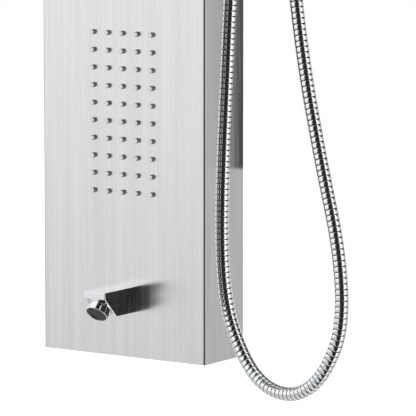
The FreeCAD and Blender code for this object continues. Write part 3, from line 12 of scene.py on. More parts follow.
import bpy
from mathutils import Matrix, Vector


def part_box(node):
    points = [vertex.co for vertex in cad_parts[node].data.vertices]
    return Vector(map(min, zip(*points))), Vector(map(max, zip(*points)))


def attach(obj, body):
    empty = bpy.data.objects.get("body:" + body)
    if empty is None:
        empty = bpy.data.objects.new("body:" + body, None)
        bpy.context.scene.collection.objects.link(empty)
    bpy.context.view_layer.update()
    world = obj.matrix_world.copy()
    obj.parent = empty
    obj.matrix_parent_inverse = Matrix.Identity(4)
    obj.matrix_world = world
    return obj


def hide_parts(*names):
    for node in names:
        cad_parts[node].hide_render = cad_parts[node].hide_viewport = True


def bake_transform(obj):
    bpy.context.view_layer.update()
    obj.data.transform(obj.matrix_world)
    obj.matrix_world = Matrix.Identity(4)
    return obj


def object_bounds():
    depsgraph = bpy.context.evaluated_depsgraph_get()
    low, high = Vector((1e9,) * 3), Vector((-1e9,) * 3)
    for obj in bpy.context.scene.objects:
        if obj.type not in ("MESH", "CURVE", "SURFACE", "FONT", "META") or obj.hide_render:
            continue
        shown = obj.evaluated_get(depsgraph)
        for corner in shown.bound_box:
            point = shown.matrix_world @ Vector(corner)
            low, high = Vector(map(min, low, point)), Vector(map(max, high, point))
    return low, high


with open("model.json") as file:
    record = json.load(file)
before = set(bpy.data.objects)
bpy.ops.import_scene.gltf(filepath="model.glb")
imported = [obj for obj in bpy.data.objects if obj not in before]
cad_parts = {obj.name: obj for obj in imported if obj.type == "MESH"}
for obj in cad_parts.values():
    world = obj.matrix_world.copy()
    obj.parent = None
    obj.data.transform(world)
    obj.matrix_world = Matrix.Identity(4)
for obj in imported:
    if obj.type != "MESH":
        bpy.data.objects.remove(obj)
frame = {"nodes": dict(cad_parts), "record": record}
CAD_BOX = [list(corner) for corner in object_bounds()]

log = logging.getLogger("shower_column")

MM = 0.001
COLUMN = "column"
# How nearly a face's normal has to match a direction to count as looking that way.
LOOKING_THERE = 0.9
# CAD facets closer than this, in metres, are merged before they are shaded smooth.
MERGE_DISTANCE = 2e-6
# The slots whose CAD nodes get a smoothly shaded copy.
SMOOTH_SLOTS = ("polished_chrome", "bare_brass", "white_hose")


# ---------------------------------------------------------------- small helpers
def linear(colour: str) -> tuple[float, float, float, float]:
    """Turn an sRGB hex colour into Blender's linear colour.

    Args:
        colour: six hex digits, such as "c8ccd0".

    Returns:
        Red, green, blue and an alpha of 1.
    """
    channels = []
    for start in (0, 2, 4):
        value = int(colour[start:start + 2], 16) / 255
        channels.append(value / 12.92 if value <= 0.04045 else ((value + 0.055) / 1.055) ** 2.4)
    return (channels[0], channels[1], channels[2], 1.0)


def deselect_all() -> None:
    """Leave object mode and deselect every object."""
    if bpy.context.object and bpy.context.object.mode != "OBJECT":
        bpy.ops.object.mode_set(mode="OBJECT")
    bpy.ops.object.select_all(action="DESELECT")


def activate(piece: bpy.types.Object) -> None:
    """Select one object alone and make it the active one.

    Args:
        piece: the object.
    """
    deselect_all()
    piece.select_set(True)
    bpy.context.view_layer.objects.active = piece


def bake_place(piece: bpy.types.Object) -> None:
    """Move an object's place, turn and scale into its mesh.

    Args:
        piece: the object, which ends at the origin.
    """
    activate(piece)
    bpy.ops.object.transform_apply(location=True, rotation=True, scale=True)


def pick_faces(mesh: bpy.types.Mesh, direction: Vector) -> None:
    """Select only the faces that look one way, ready for edit mode.

    Args:
        mesh: the mesh, in object mode.
        direction: the way the faces look, one metre long.
    """
    bpy.context.tool_settings.mesh_select_mode = (False, False, True)
    for corners in (mesh.vertices, mesh.edges):
        corners.foreach_set("select", [False] * len(corners))
    looking = [polygon.normal.dot(direction) > LOOKING_THERE for polygon in mesh.polygons]
    mesh.polygons.foreach_set("select", looking)


def join(pieces: list[bpy.types.Object], name: str) -> bpy.types.Object:
    """Join several mesh objects into one named piece.

    Args:
        pieces: the objects, each with its own mesh.
        name: the name of the joined piece.

    Returns:
        The joined object, at the origin.
    """
    deselect_all()
    for piece in pieces:
        piece.select_set(True)
    bpy.context.view_layer.objects.active = pieces[0]
    bpy.ops.object.join()
    joined = bpy.context.object
    joined.name = name
    bake_place(joined)
    return joined


def apply_modifiers(piece: bpy.types.Object) -> None:
    """Apply every modifier of a piece, in order.

    Args:
        piece: the piece.
    """
    activate(piece)
    for modifier in list(piece.modifiers):
        bpy.ops.object.modifier_apply(modifier=modifier.name)


def add_node(
    tree: bpy.types.NodeTree,
    kind: str,
    settings: dict | None = None,
    links: dict | None = None,
    stops: list[tuple[float, tuple]] | None = None,
) -> bpy.types.Node:
    """Add a shader node, set it and link it.

    Args:
        tree: the node tree it goes into.
        kind: the node's type name.
        settings: attributes by name, or input values by socket name or number.
        links: output sockets to link into the node's inputs, by socket name or number.
        stops: a colour ramp's pairs of position and colour.

    Returns:
        The new node.
    """
    node = tree.nodes.new(kind)
    for name, value in (settings or {}).items():
        if isinstance(name, str) and hasattr(node, name):
            setattr(node, name, value)
        else:
            node.inputs[name].default_value = value
    for name, source in (links or {}).items():
        tree.links.new(source, node.inputs[name])
    if stops:
        elements = node.color_ramp.elements
        while len(elements) < len(stops):
            elements.new(1.0)
        for element, (position, colour) in zip(elements, stops):
            element.position = position
            element.color = colour
    return node


def new_material(name: str) -> tuple[bpy.types.Material, bpy.types.NodeTree, bpy.types.Node]:
    """Start a material with one Principled shader.

    Args:
        name: the finish's plain name.

    Returns:
        The material, its node tree and its shader node.
    """
    material = bpy.data.materials.new(name)
    material.use_nodes = True
    tree = material.node_tree
    tree.nodes.clear()
    shader = add_node(tree, "ShaderNodeBsdfPrincipled")
    add_node(tree, "ShaderNodeOutputMaterial", links={"Surface": shader.outputs["BSDF"]})
    return material, tree, shader


def stretched_noise(
    tree: bpy.types.NodeTree,
    grain: tuple[float, float, float],
    detail: float = 2.0,
) -> bpy.types.NodeSocket:
    """Make noise with a different grain size along each axis.

    Args:
        tree: the node tree.
        grain: the size of the grain along X, Y and Z, in millimetres.
        detail: the noise's octaves.

    Returns:
        The noise's value socket, about 0.5 on average.
    """
    place = add_node(tree, "ShaderNodeTexCoord").outputs["Object"]
    scale = tuple(1.0 / (size * MM) for size in grain)
    mapped = add_node(tree, "ShaderNodeMapping", {"Scale": scale}, {"Vector": place}).outputs["Vector"]
    noise = add_node(tree, "ShaderNodeTexNoise", {"Scale": 1.0, "Detail": detail}, {"Vector": mapped})
    return noise.outputs["Fac"]


def node_slots() -> dict[str, str]:
    """Return each CAD node's material slot, by the node's name."""
    return {part["node"]: part["material_slot"] for part in frame["record"]["subparts"]}


# ---------------------------------------------------------------- finishes
@dataclass(frozen=True)
class BrushedSteel:
    """Stainless steel sheet, brushed up its length with a belt: long fine streaks, soft reflections.

    The reflections spread across the grain, so a dark neighbour shows as a wide soft band.
    """

    name: str = "brushed_stainless_steel"
    light: str = "eceded"
    dark: str = "dfe0e1"
    # The bend colour is a painted dark reflection: the upright bends are drawn darker than the flats.
    bend: str = "85878a"
    roughness: float = 0.21
    anisotropy: float = 0.8
    along: tuple = (0.0, 0.0, 1.0)
    # A belt's lines are well under 0.1 mm wide. They are drawn coarser, so that they show.
    streak_width_mm: float = 1.3
    streak_length_mm: float = 110.0
    band_widening: int = 7
    band_lengthening: int = 3
    streak_share: float = 0.62
    band_share: float = 0.38
    relief_mm: float = 0.003
    relief_strength: float = 0.25
    # The share of a full turn from the tangent to the way that reflections spread.
    spread_turn: float = 0.25
    # The product of a normal's X and Y is 0 on flats and 0.5 in the middle of an upright bend.
    bend_starts: float = 0.12
    bend_full: float = 0.38

    def bend_reflection_mask(self, tree: bpy.types.NodeTree) -> bpy.types.NodeSocket:
        """Find the upright bends, where a dark reflection is painted into the colour.

        Args:
            tree: the material's node tree.

        Returns:
            A socket that is 1 on the bends and 0 on flats.
        """
        normal = add_node(tree, "ShaderNodeTexCoord").outputs["Normal"]
        split = add_node(tree, "ShaderNodeSeparateXYZ", links={"Vector": normal})
        both = add_node(
            tree, "ShaderNodeMath", {"operation": "MULTIPLY"}, {0: split.outputs["X"], 1: split.outputs["Y"]}
        )
        size = add_node(tree, "ShaderNodeMath", {"operation": "ABSOLUTE"}, {0: both.outputs[0]})
        mask = add_node(
            tree, "ShaderNodeMapRange", {"From Min": self.bend_starts, "From Max": self.bend_full},
            {"Value": size.outputs[0]},
        )
        return mask.outputs["Result"]

    def build(self) -> bpy.types.Material:
        """Build the brushed steel material."""
        material, tree, shader = new_material(self.name)
        fine = tuple(self.streak_length_mm if axis else self.streak_width_mm for axis in self.along)
        band_length = self.band_lengthening * self.streak_length_mm
        band_width = self.band_widening * self.streak_width_mm
        broad = tuple(band_length if axis else band_width for axis in self.along)
        streaks = stretched_noise(tree, fine, 3.0)
        bands = stretched_noise(tree, broad, 2.0)
        share = add_node(tree, "ShaderNodeMath", {"operation": "MULTIPLY", 1: self.band_share}, {0: bands})
        mixed = add_node(
            tree, "ShaderNodeMath", {"operation": "MULTIPLY_ADD", 1: self.streak_share},
            {0: streaks, 2: share.outputs[0]},
        )
        tone = add_node(
            tree, "ShaderNodeValToRGB", links={"Fac": mixed.outputs[0]},
            stops=[(0.36, linear(self.dark)), (0.62, linear(self.light))],
        )
        # Painted dark reflection on the bends, mixed over the streaked tone.
        bend_painted_reflection = add_node(
            tree, "ShaderNodeMix", {"data_type": "RGBA", 7: linear(self.bend)},
            {0: self.bend_reflection_mask(tree), 6: tone.outputs["Color"]},
        )
        tree.links.new(bend_painted_reflection.outputs[2], shader.inputs["Base Color"])
        shader.inputs["Metallic"].default_value = 1.0
        rough = add_node(
            tree, "ShaderNodeMapRange", {"From Min": 0.3, "From Max": 0.7,
                                         "To Min": self.roughness - 0.04, "To Max": self.roughness + 0.05},
            {"Value": streaks},
        )
        tree.links.new(rough.outputs["Result"], shader.inputs["Roughness"])
        shader.inputs["Anisotropic"].default_value = self.anisotropy
        shader.inputs["Anisotropic Rotation"].default_value = self.spread_turn
        tangent = add_node(tree, "ShaderNodeCombineXYZ", dict(zip("XYZ", self.along)))
        tree.links.new(tangent.outputs["Vector"], shader.inputs["Tangent"])
        bump = add_node(
            tree, "ShaderNodeBump", {"Strength": self.relief_strength, "Distance": self.relief_mm * MM},
            {"Height": streaks},
        )
        tree.links.new(bump.outputs["Normal"], shader.inputs["Normal"])
        return material


@dataclass(frozen=True)
class PolishedMetal:
    """Metal polished or plated to a mirror, with the faint haze and wipe marks that handling leaves."""

    name: str
    colour: str
    roughness: float = 0.05
    haze: float = 0.05
    mark_mm: float = 14.0

    def build(self) -> bpy.types.Material:
        """Build the polished metal material."""
        material, tree, shader = new_material(self.name)
        shader.inputs["Base Color"].default_value = linear(self.colour)
        shader.inputs["Metallic"].default_value = 1.0
        marks = stretched_noise(tree, (self.mark_mm, self.mark_mm, self.mark_mm), 5.0)
        rough = add_node(
            tree, "ShaderNodeMapRange", {"From Min": 0.45, "From Max": 0.75,
                                         "To Min": self.roughness, "To Max": self.roughness + self.haze},
            {"Value": marks},
        )
        tree.links.new(rough.outputs["Result"], shader.inputs["Roughness"])
        return material


@dataclass(frozen=True)
class Moulded:
    """Moulded plastic or rubber: one colour through, with a fine texture from the mould."""

    name: str
    colour: str
    roughness: float
    ior: float = 1.5
    texture_mm: float = 0.6
    cloud_mm: float = 30.0
    relief_mm: float = 0.02
    relief_strength: float = 0.3
    variation: float = 0.04

    def build(self) -> bpy.types.Material:
        """Build the moulded material."""
        material, tree, shader = new_material(self.name)
        shader.inputs["IOR"].default_value = self.ior
        texture = stretched_noise(tree, (self.texture_mm,) * 3, 2.0)
        clouds = stretched_noise(tree, (self.cloud_mm,) * 3, 2.0)
        base = linear(self.colour)
        low = tuple(channel * (1 - self.variation) for channel in base[:3]) + (1.0,)
        high = tuple(min(1.0, channel * (1 + self.variation)) for channel in base[:3]) + (1.0,)
        tone = add_node(tree, "ShaderNodeValToRGB", links={"Fac": clouds}, stops=[(0.35, low), (0.65, high)])
        tree.links.new(tone.outputs["Color"], shader.inputs["Base Color"])
        rough = add_node(
            tree, "ShaderNodeMapRange", {"To Min": self.roughness - 0.05, "To Max": self.roughness + 0.05},
            {"Value": texture},
        )
        tree.links.new(rough.outputs["Result"], shader.inputs["Roughness"])
        bump = add_node(
            tree, "ShaderNodeBump", {"Strength": self.relief_strength, "Distance": self.relief_mm * MM},
            {"Height": texture},
        )
        tree.links.new(bump.outputs["Normal"], shader.inputs["Normal"])
        return material


@dataclass(frozen=True)
class SleeveChrome:
    """Chromed steel strip wound into rings: mirror crowns, with painted shade darkening the seams between
    the rings.
    """

    name: str = "chromed_steel_sleeve"
    crown: str = "eff1f3"
    # The seam colour is painted shade: the grooves between the rings are drawn near black.
    seam: str = "17181a"
    roughness: float = 0.1
    seam_roughness: float = 0.5

    def build(self) -> bpy.types.Material:
        """Build the sleeve material, which reads how deep in a seam each point is from the mesh and paints
        shade there.
        """
        material, tree, shader = new_material(self.name)
        shader.inputs["Metallic"].default_value = 1.0
        depth = add_node(tree, "ShaderNodeAttribute", {"attribute_name": "seam"}).outputs["Fac"]
        tone = add_node(
            # Painted shade in the seams, mixed over the crown colour.
            tree, "ShaderNodeValToRGB", links={"Fac": depth},
            stops=[(0.3, linear(self.crown)), (0.75, linear(self.seam))],
        )
        tree.links.new(tone.outputs["Color"], shader.inputs["Base Color"])
        rough = add_node(
            tree, "ShaderNodeMapRange", {"From Min": 0.3, "From Max": 0.8,
                                         "To Min": self.roughness, "To Max": self.seam_roughness},
            {"Value": depth},
        )
        tree.links.new(rough.outputs["Result"], shader.inputs["Roughness"])
        return material


@dataclass(frozen=True)
class NozzleSilicone:
    """Grey moulded silicone rubber: matt, with a painted highlight making the tips pale and painted shade
    making the sides darker.
    """

    name: str = "grey_silicone_rubber"
    # The tip colour is a painted highlight and the flank colour painted shade: one grey silicone drawn lit
    # and shaded.
    tip: str = "f4f4f4"
    flank_painted_shade: str = "959799"
    roughness: float = 0.45
    ior: float = 1.41
    texture_mm: float = 0.5

    def build(self) -> bpy.types.Material:
        """Build the silicone, painted pale as if lit where the mesh says that a face is a nozzle's tip, and
        painted darker as shade elsewhere.
        """
        material, tree, shader = new_material(self.name)
        shader.inputs["IOR"].default_value = self.ior
        lit_tip_mask = add_node(tree, "ShaderNodeAttribute", {"attribute_name": "tip"}).outputs["Fac"]
        texture = stretched_noise(tree, (self.texture_mm,) * 3, 2.0)
        tone = add_node(
            tree, "ShaderNodeValToRGB", links={"Fac": lit_tip_mask},
            stops=[(0.2, linear(self.flank_painted_shade)), (0.8, linear(self.tip))],
        )
        tree.links.new(tone.outputs["Color"], shader.inputs["Base Color"])
        rough = add_node(
            tree, "ShaderNodeMapRange", {"To Min": self.roughness - 0.05, "To Max": self.roughness + 0.05},
            {"Value": texture},
        )
        tree.links.new(rough.outputs["Result"], shader.inputs["Roughness"])
        return material


FINISHES = {
    "brushed_stainless": BrushedSteel(),
    "plain_stainless": PolishedMetal("rolled_stainless_steel", "b9bbbd", 0.3, 0.12),
    "polished_chrome": PolishedMetal("chrome_plate", "eff1f3", 0.04, 0.03),
    "chromed_hose": SleeveChrome(),
    "bare_brass": PolishedMetal("turned_brass", "c9a25a", 0.26, 0.12),
    "steel_fasteners": PolishedMetal("stainless_fastener_steel", "b4b6b9", 0.22, 0.1, 4.0),
    "silicone": NozzleSilicone(),
    "gasket_rubber": Moulded("black_nitrile_rubber", "1c1c1d", 0.6, 1.52),
    "black_abs": Moulded("black_abs", "222325", 0.42, 1.54),
    "aerator_plastic": Moulded("grey_acetal", "333436", 0.4, 1.48, 0.4),
    "white_hose": Moulded("white_polyethylene", "e8e8e4", 0.38, 1.51),
}


@dataclass
class Paintshop:
    """Builds each finish once and puts it on pieces and CAD nodes."""

    made: dict[str, bpy.types.Material] = field(default_factory=dict)

    def finish(self, slot: str) -> bpy.types.Material:
        """Find the material of a record slot, and build it the first time it is asked for.

        Args:
            slot: the slot's name.

        Returns:
            The slot's material.
        """
        if slot not in self.made:
            self.made[slot] = FINISHES[slot].build()
        return self.made[slot]

    def paint(self, piece: bpy.types.Object, slot: str) -> None:
        """Give a piece one finish all over.

        Args:
            piece: the piece.
            slot: the name of the finish's slot.
        """
        piece.data.materials.clear()
        piece.data.materials.append(self.finish(slot))

    def dress_frame(self) -> None:
        """Give every CAD node the finish of its slot."""
        slots = node_slots()
        for name, node in frame["nodes"].items():
            self.paint(node, slots[name])


# ---------------------------------------------------------------- hand-shower hose
@dataclass
class RingedHose:
    """The hand shower's hose: a chromed steel sleeve of interlocked rings over a thin inner hose."""

    diameter: float = 14.0 * MM
    ring_pitch: float = 5.6 * MM
    groove_depth: float = 0.6 * MM
    collar_steps: int = 16
    samples_per_ring: int = 8
    seam_sharpness: int = 3
    sides: int = 28
    smooth_deg: float = 50.0
    line_resolution: int = 48
    length: float = 1.44
    # On the real hose the top of the run beside the panel hangs still, and the rest of that run shortens as
    # the hand shower lifts. The loop and the run beyond it follow the hand shower. The line from the one
    # place to the other slopes a little down.
    still_side: tuple = (0.138, -0.060, 0.0)
    moving_side: tuple = (0.1811, -0.060, -0.0043)
    route: tuple = (
        (0.128, -0.036, -0.075),
        (0.128, -0.036, -0.115),
        (0.118, -0.036, -0.210),
        (0.110, -0.039, -0.320),
        (0.109, -0.045, -0.415),
        (0.109, -0.052, -0.505),
        (0.109, -0.054, -0.580),
        (0.111, -0.050, -0.634),
        (0.124, -0.053, -0.669),
        (0.149, -0.058, -0.706),
        (0.182, -0.066, -0.721),
        (0.219, -0.075, -0.717),
        (0.250, -0.082, -0.692),
        (0.274, -0.087, -0.643),
        (0.269, -0.086, -0.569),
        (0.244, -0.080, -0.486),
        (0.218, -0.074, -0.385),
        (0.200, -0.070, -0.271),
        (0.191, -0.068, -0.180),
        (0.188, -0.063, -0.110),
        (0.180, -0.061, -0.055),
        (0.180, -0.061, -0.022),
    )

    def centreline(self) -> list[Vector]:
        """Return close points along the smooth curve that the route controls."""
        curve = bpy.data.curves.new("hose_line", "CURVE")
        curve.dimensions = "3D"
        spline = curve.splines.new("NURBS")
        spline.points.add(len(self.route) - 1)
        for point, place in zip(spline.points, self.route):
            point.co = (*place, 1.0)
        spline.order_u = 3
        spline.use_endpoint_u = True
        curve.resolution_u = self.line_resolution
        line = bpy.data.objects.new("hose_line", curve)
        bpy.context.scene.collection.objects.link(line)
        mesh = bpy.data.meshes.new_from_object(line)
        points = [vertex.co.copy() for vertex in mesh.vertices]
        bpy.data.objects.remove(line)
        bpy.data.meshes.remove(mesh)
        return points

    def evenly(self, points: list[Vector], step: float) -> list[Vector]:
        """Space points evenly along a line.

        Args:
            points: the line's own points.
            step: about how far apart the new points are.

        Returns:
            The new points, with both ends kept.
        """
        reached = [0.0]
        for before, after in zip(points, points[1:]):
            reached.append(reached[-1] + (after - before).length)
        count = max(2, round(reached[-1] / step))
        places = []
        index = 0
        for number in range(count + 1):
            wanted = reached[-1] * number / count
            while index < len(points) - 2 and reached[index + 1] < wanted:
                index += 1
            stretch = reached[index + 1] - reached[index]
            share = (wanted - reached[index]) / stretch if stretch else 0.0
            places.append(points[index].lerp(points[index + 1], min(1.0, share)))
        return places

    def depth_at(self, step: int, last: int) -> float:
        """Say how deep in a seam a step along the hose is.

        Args:
            step: the step along the hose.
            last: the number of the last step.

        Returns:
            0 on a crown and all along the smooth collar at each end, up to 1 in a seam.
        """
        if min(step, last - step) < self.collar_steps:
            return 0.0
        bulge = math.sin(math.pi * (step % self.samples_per_ring) / self.samples_per_ring)
        return (1 - bulge) ** self.seam_sharpness

    def sleeve(self, centres: list[Vector], depths: list[float]) -> bpy.types.Mesh:
        """Model the closed sleeve round a line.

        Args:
            centres: the line's even points.
            depths: how deep in a seam each point is.

        Returns:
            The mesh, which carries the depths for the finish's painted seam shade.
        """
        vertices = []
        faces = []
        side = Vector((0.0, 1.0, 0.0))
        for number, centre in enumerate(centres):
            ahead = centres[min(number + 1, len(centres) - 1)]
            behind = centres[max(number - 1, 0)]
            direction = (ahead - behind).normalized()
            side = (side - direction * side.dot(direction)).normalized()
            across = direction.cross(side)
            radius = self.diameter / 2 - self.groove_depth * depths[number]
            for step in range(self.sides):
                turn = 2 * math.pi * step / self.sides
                vertices.append(centre + (side * math.cos(turn) + across * math.sin(turn)) * radius)
        for ring in range(len(centres) - 1):
            for step in range(self.sides):
                beside = (step + 1) % self.sides
                low, high = ring * self.sides, (ring + 1) * self.sides
                faces.append((low + step, low + beside, high + beside, high + step))
        faces.append(tuple(reversed(range(self.sides))))
        faces.append(tuple(range(len(vertices) - self.sides, len(vertices))))
        mesh = bpy.data.meshes.new("ringed_hose")
        mesh.from_pydata([tuple(vertex) for vertex in vertices], [], faces)
        # The seam depths drive the painted shade in the grooves.
        seam = mesh.attributes.new("seam", "FLOAT", "POINT")
        seam.data.foreach_set("value", [depth for depth in depths for _ in range(self.sides)])
        return mesh

    def build(self, shop: Paintshop) -> bpy.types.Object:
        """Args:
            shop: where its finish comes from.

        Returns:
            The hose.
        """
        centres = self.evenly(self.centreline(), self.ring_pitch / self.samples_per_ring)
        depths = [self.depth_at(number, len(centres) - 1) for number in range(len(centres))]
        hose = bpy.data.objects.new("ringed_hose", self.sleeve(centres, depths))
        bpy.context.scene.collection.objects.link(hose)
        activate(hose)
        bpy.ops.object.mode_set(mode="EDIT")
        bpy.ops.mesh.select_all(action="SELECT")
        bpy.ops.mesh.normals_make_consistent(inside=False)
        bpy.ops.object.mode_set(mode="OBJECT")
        bpy.ops.object.shade_smooth_by_angle(angle=math.radians(self.smooth_deg))
        shop.paint(hose, "chromed_hose")
        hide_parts("shower_hose")
        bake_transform(hose)
        # Left out of reflections, which a real hose isn't: the panel's side would show a dark band of it.
        hose.visible_glossy = False
        return hose


# ---------------------------------------------------------------- jets
@dataclass
class NozzleField:
    """A silicone mat behind a sheet, with rows of nozzles that stand through the sheet's holes."""

    node: str
    columns: int
    rows: int
    pitch: float
    radius: float
    length: float
    outward: tuple
    bore: float = 0.4 * MM
    sides: int = 12
    lip: float = 0.5 * MM
    hole_depth: float = 1.5 * MM
    smooth_deg: float = 35.0
    mat_edge_share: float = 0.2

    def nozzle(self, tip: Vector) -> bpy.types.Object:
        """Model one nozzle: a round stub with a rounded tip and a hole down its middle.

        Args:
            tip: the middle of its tip.

        Returns:
            The nozzle, with its tip's faces marked for the finish's painted highlight.
        """
        outward = Vector(self.outward)
        shank = self.length - self.lip
        deselect_all()
        bpy.ops.mesh.primitive_cylinder_add(
            vertices=self.sides, radius=self.radius, depth=shank,
            location=tip - outward * (self.lip + shank / 2),
            rotation=outward.to_track_quat("Z", "Y").to_euler(),
        )
        piece = bpy.context.object
        bake_place(piece)
        pick_faces(piece.data, outward)
        bpy.ops.object.mode_set(mode="EDIT")
        bpy.ops.mesh.inset(thickness=self.lip, depth=self.lip)
        bpy.ops.mesh.inset(thickness=self.radius - self.lip - self.bore)
        inwards = tuple(-outward * self.hole_depth)
        bpy.ops.mesh.extrude_region_move(TRANSFORM_OT_translate={"value": inwards})
        bpy.ops.object.mode_set(mode="OBJECT")
        mesh = piece.data
        level = tip.dot(outward) - self.lip / 2
        # Marks the tip faces, which the finish paints pale as a painted highlight.
        tips = mesh.attributes.new("tip", "FLOAT", "FACE")
        tips.data.foreach_set("value", [
            float(polygon.normal.dot(outward) > LOOKING_THERE and polygon.center.dot(outward) > level)
            for polygon in mesh.polygons
        ])
        return piece

    def grid(self, tip_middle: Vector, outward: Vector) -> list[bpy.types.Object]:
        """Model one nozzle and copy it to every place of the grid.

        Args:
            tip_middle: the middle of the grid, level with the nozzles' tips.
            outward: the way the nozzles point.

        Returns:
            The nozzles, each with its own mesh.
        """
        side = Vector((1.0, 0.0, 0.0))
        along = outward.cross(side)
        half_width = self.pitch * (self.columns - 1) / 2
        half_height = self.pitch * (self.rows - 1) / 2
        nozzles = [self.nozzle(tip_middle - side * half_width - along * half_height)]
        for column in range(self.columns):
            for row in range(self.rows):
                if column or row:
                    copy = nozzles[0].copy()
                    copy.data = nozzles[0].data.copy()
                    copy.location = side * self.pitch * column + along * self.pitch * row
                    bpy.context.scene.collection.objects.link(copy)
                    nozzles.append(copy)
        return nozzles

    def build(self, shop: Paintshop) -> bpy.types.Object:
        """Build the mat with all its nozzles, in place of the CAD's.

        Args:
            shop: where its finish comes from.

        Returns:
            The mat and its nozzles, joined.
        """
        low, high = (Vector(corner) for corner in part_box(self.node))
        outward = Vector(self.outward)
        tip_middle = (low + high) / 2 + outward * abs((high - low).dot(outward)) / 2
        tip_middle.x = 0.0
        pieces = self.grid(tip_middle, outward) + [self.mat(low, high, outward)]
        field_piece = join(pieces, "finished_" + self.node)
        activate(field_piece)
        bpy.ops.object.shade_smooth_by_angle(angle=math.radians(self.smooth_deg))
        shop.paint(field_piece, "silicone")
        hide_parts(self.node)
        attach(field_piece, COLUMN)
        return field_piece

    def mat(self, low: Vector, high: Vector, outward: Vector) -> bpy.types.Object:
        """Model the flat mat that joins the nozzles, with eased edges.

        Args:
            low: the lowest corner of the CAD's mat.
            high: its highest corner.
            outward: the way the nozzles point.

        Returns:
            The mat.
        """
        centre = (low + high) / 2
        size = high - low
        thick = abs(size.dot(outward)) - self.length
        centre -= outward * self.length / 2
        axis = [abs(value) for value in outward]
        scale = [thick if along else extent for along, extent in zip(axis, size)]
        deselect_all()
        bpy.ops.mesh.primitive_cube_add(size=1.0, location=centre, scale=scale)
        piece = bpy.context.object
        bake_place(piece)
        bpy.ops.object.mode_set(mode="EDIT")
        bpy.ops.mesh.select_all(action="SELECT")
        bpy.ops.mesh.bevel(offset=thick * self.mat_edge_share, segments=2, affect="EDGES")
        bpy.ops.object.mode_set(mode="OBJECT")
        return piece


# ---------------------------------------------------------------- CAD shapes with smooth shading
@dataclass
class SmoothCopy:
    """A CAD node's own shape with its facets merged, so that its turned surfaces shade as one."""

    node: str
    slot: str
    body: str = COLUMN
    angle_deg: float = 32.0
    # At 100 only the largest face round a corner counts, so flat faces shade flat.
    face_weight: int = 100

    def build(self, shop: Paintshop) -> bpy.types.Object:
        """Build the merged copy in place of the node.

        Args:
            shop: where its finish comes from.

        Returns:
            The copy.
        """
        source = frame["nodes"][self.node]
        piece = bpy.data.objects.new("finished_" + self.node, source.data.copy())
        bpy.context.scene.collection.objects.link(piece)
        activate(piece)
        bpy.ops.object.mode_set(mode="EDIT")
        bpy.ops.mesh.select_all(action="SELECT")
        bpy.ops.mesh.remove_doubles(threshold=MERGE_DISTANCE)
        bpy.ops.object.mode_set(mode="OBJECT")
        bpy.ops.object.shade_smooth_by_angle(angle=math.radians(self.angle_deg))
        weighted = piece.modifiers.new("weighted", "WEIGHTED_NORMAL")
        weighted.keep_sharp = True
        weighted.weight = self.face_weight
        apply_modifiers(piece)
        shop.paint(piece, self.slot)
        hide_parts(self.node)
        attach(piece, self.body)
        return piece


# ---------------------------------------------------------------- studio
@dataclass(frozen=True)
class Card:
    """A black card that shows only in reflections, and darkens what mirrors it."""

    name: str
    low: tuple
    high: tuple

    def build(self, black: bpy.types.Material) -> None:
        """Stand the card between its two corners.

        Args:
            black: the card's material.
        """
        low, high = Vector(self.low), Vector(self.high)
        deselect_all()
        bpy.ops.mesh.primitive_cube_add(size=1.0, location=(low + high) / 2, scale=high - low)
        card = bpy.context.object
        card.name = self.name
        card.data.materials.append(black)
        card.visible_camera = False
        card.visible_diffuse = False
        card.visible_shadow = False


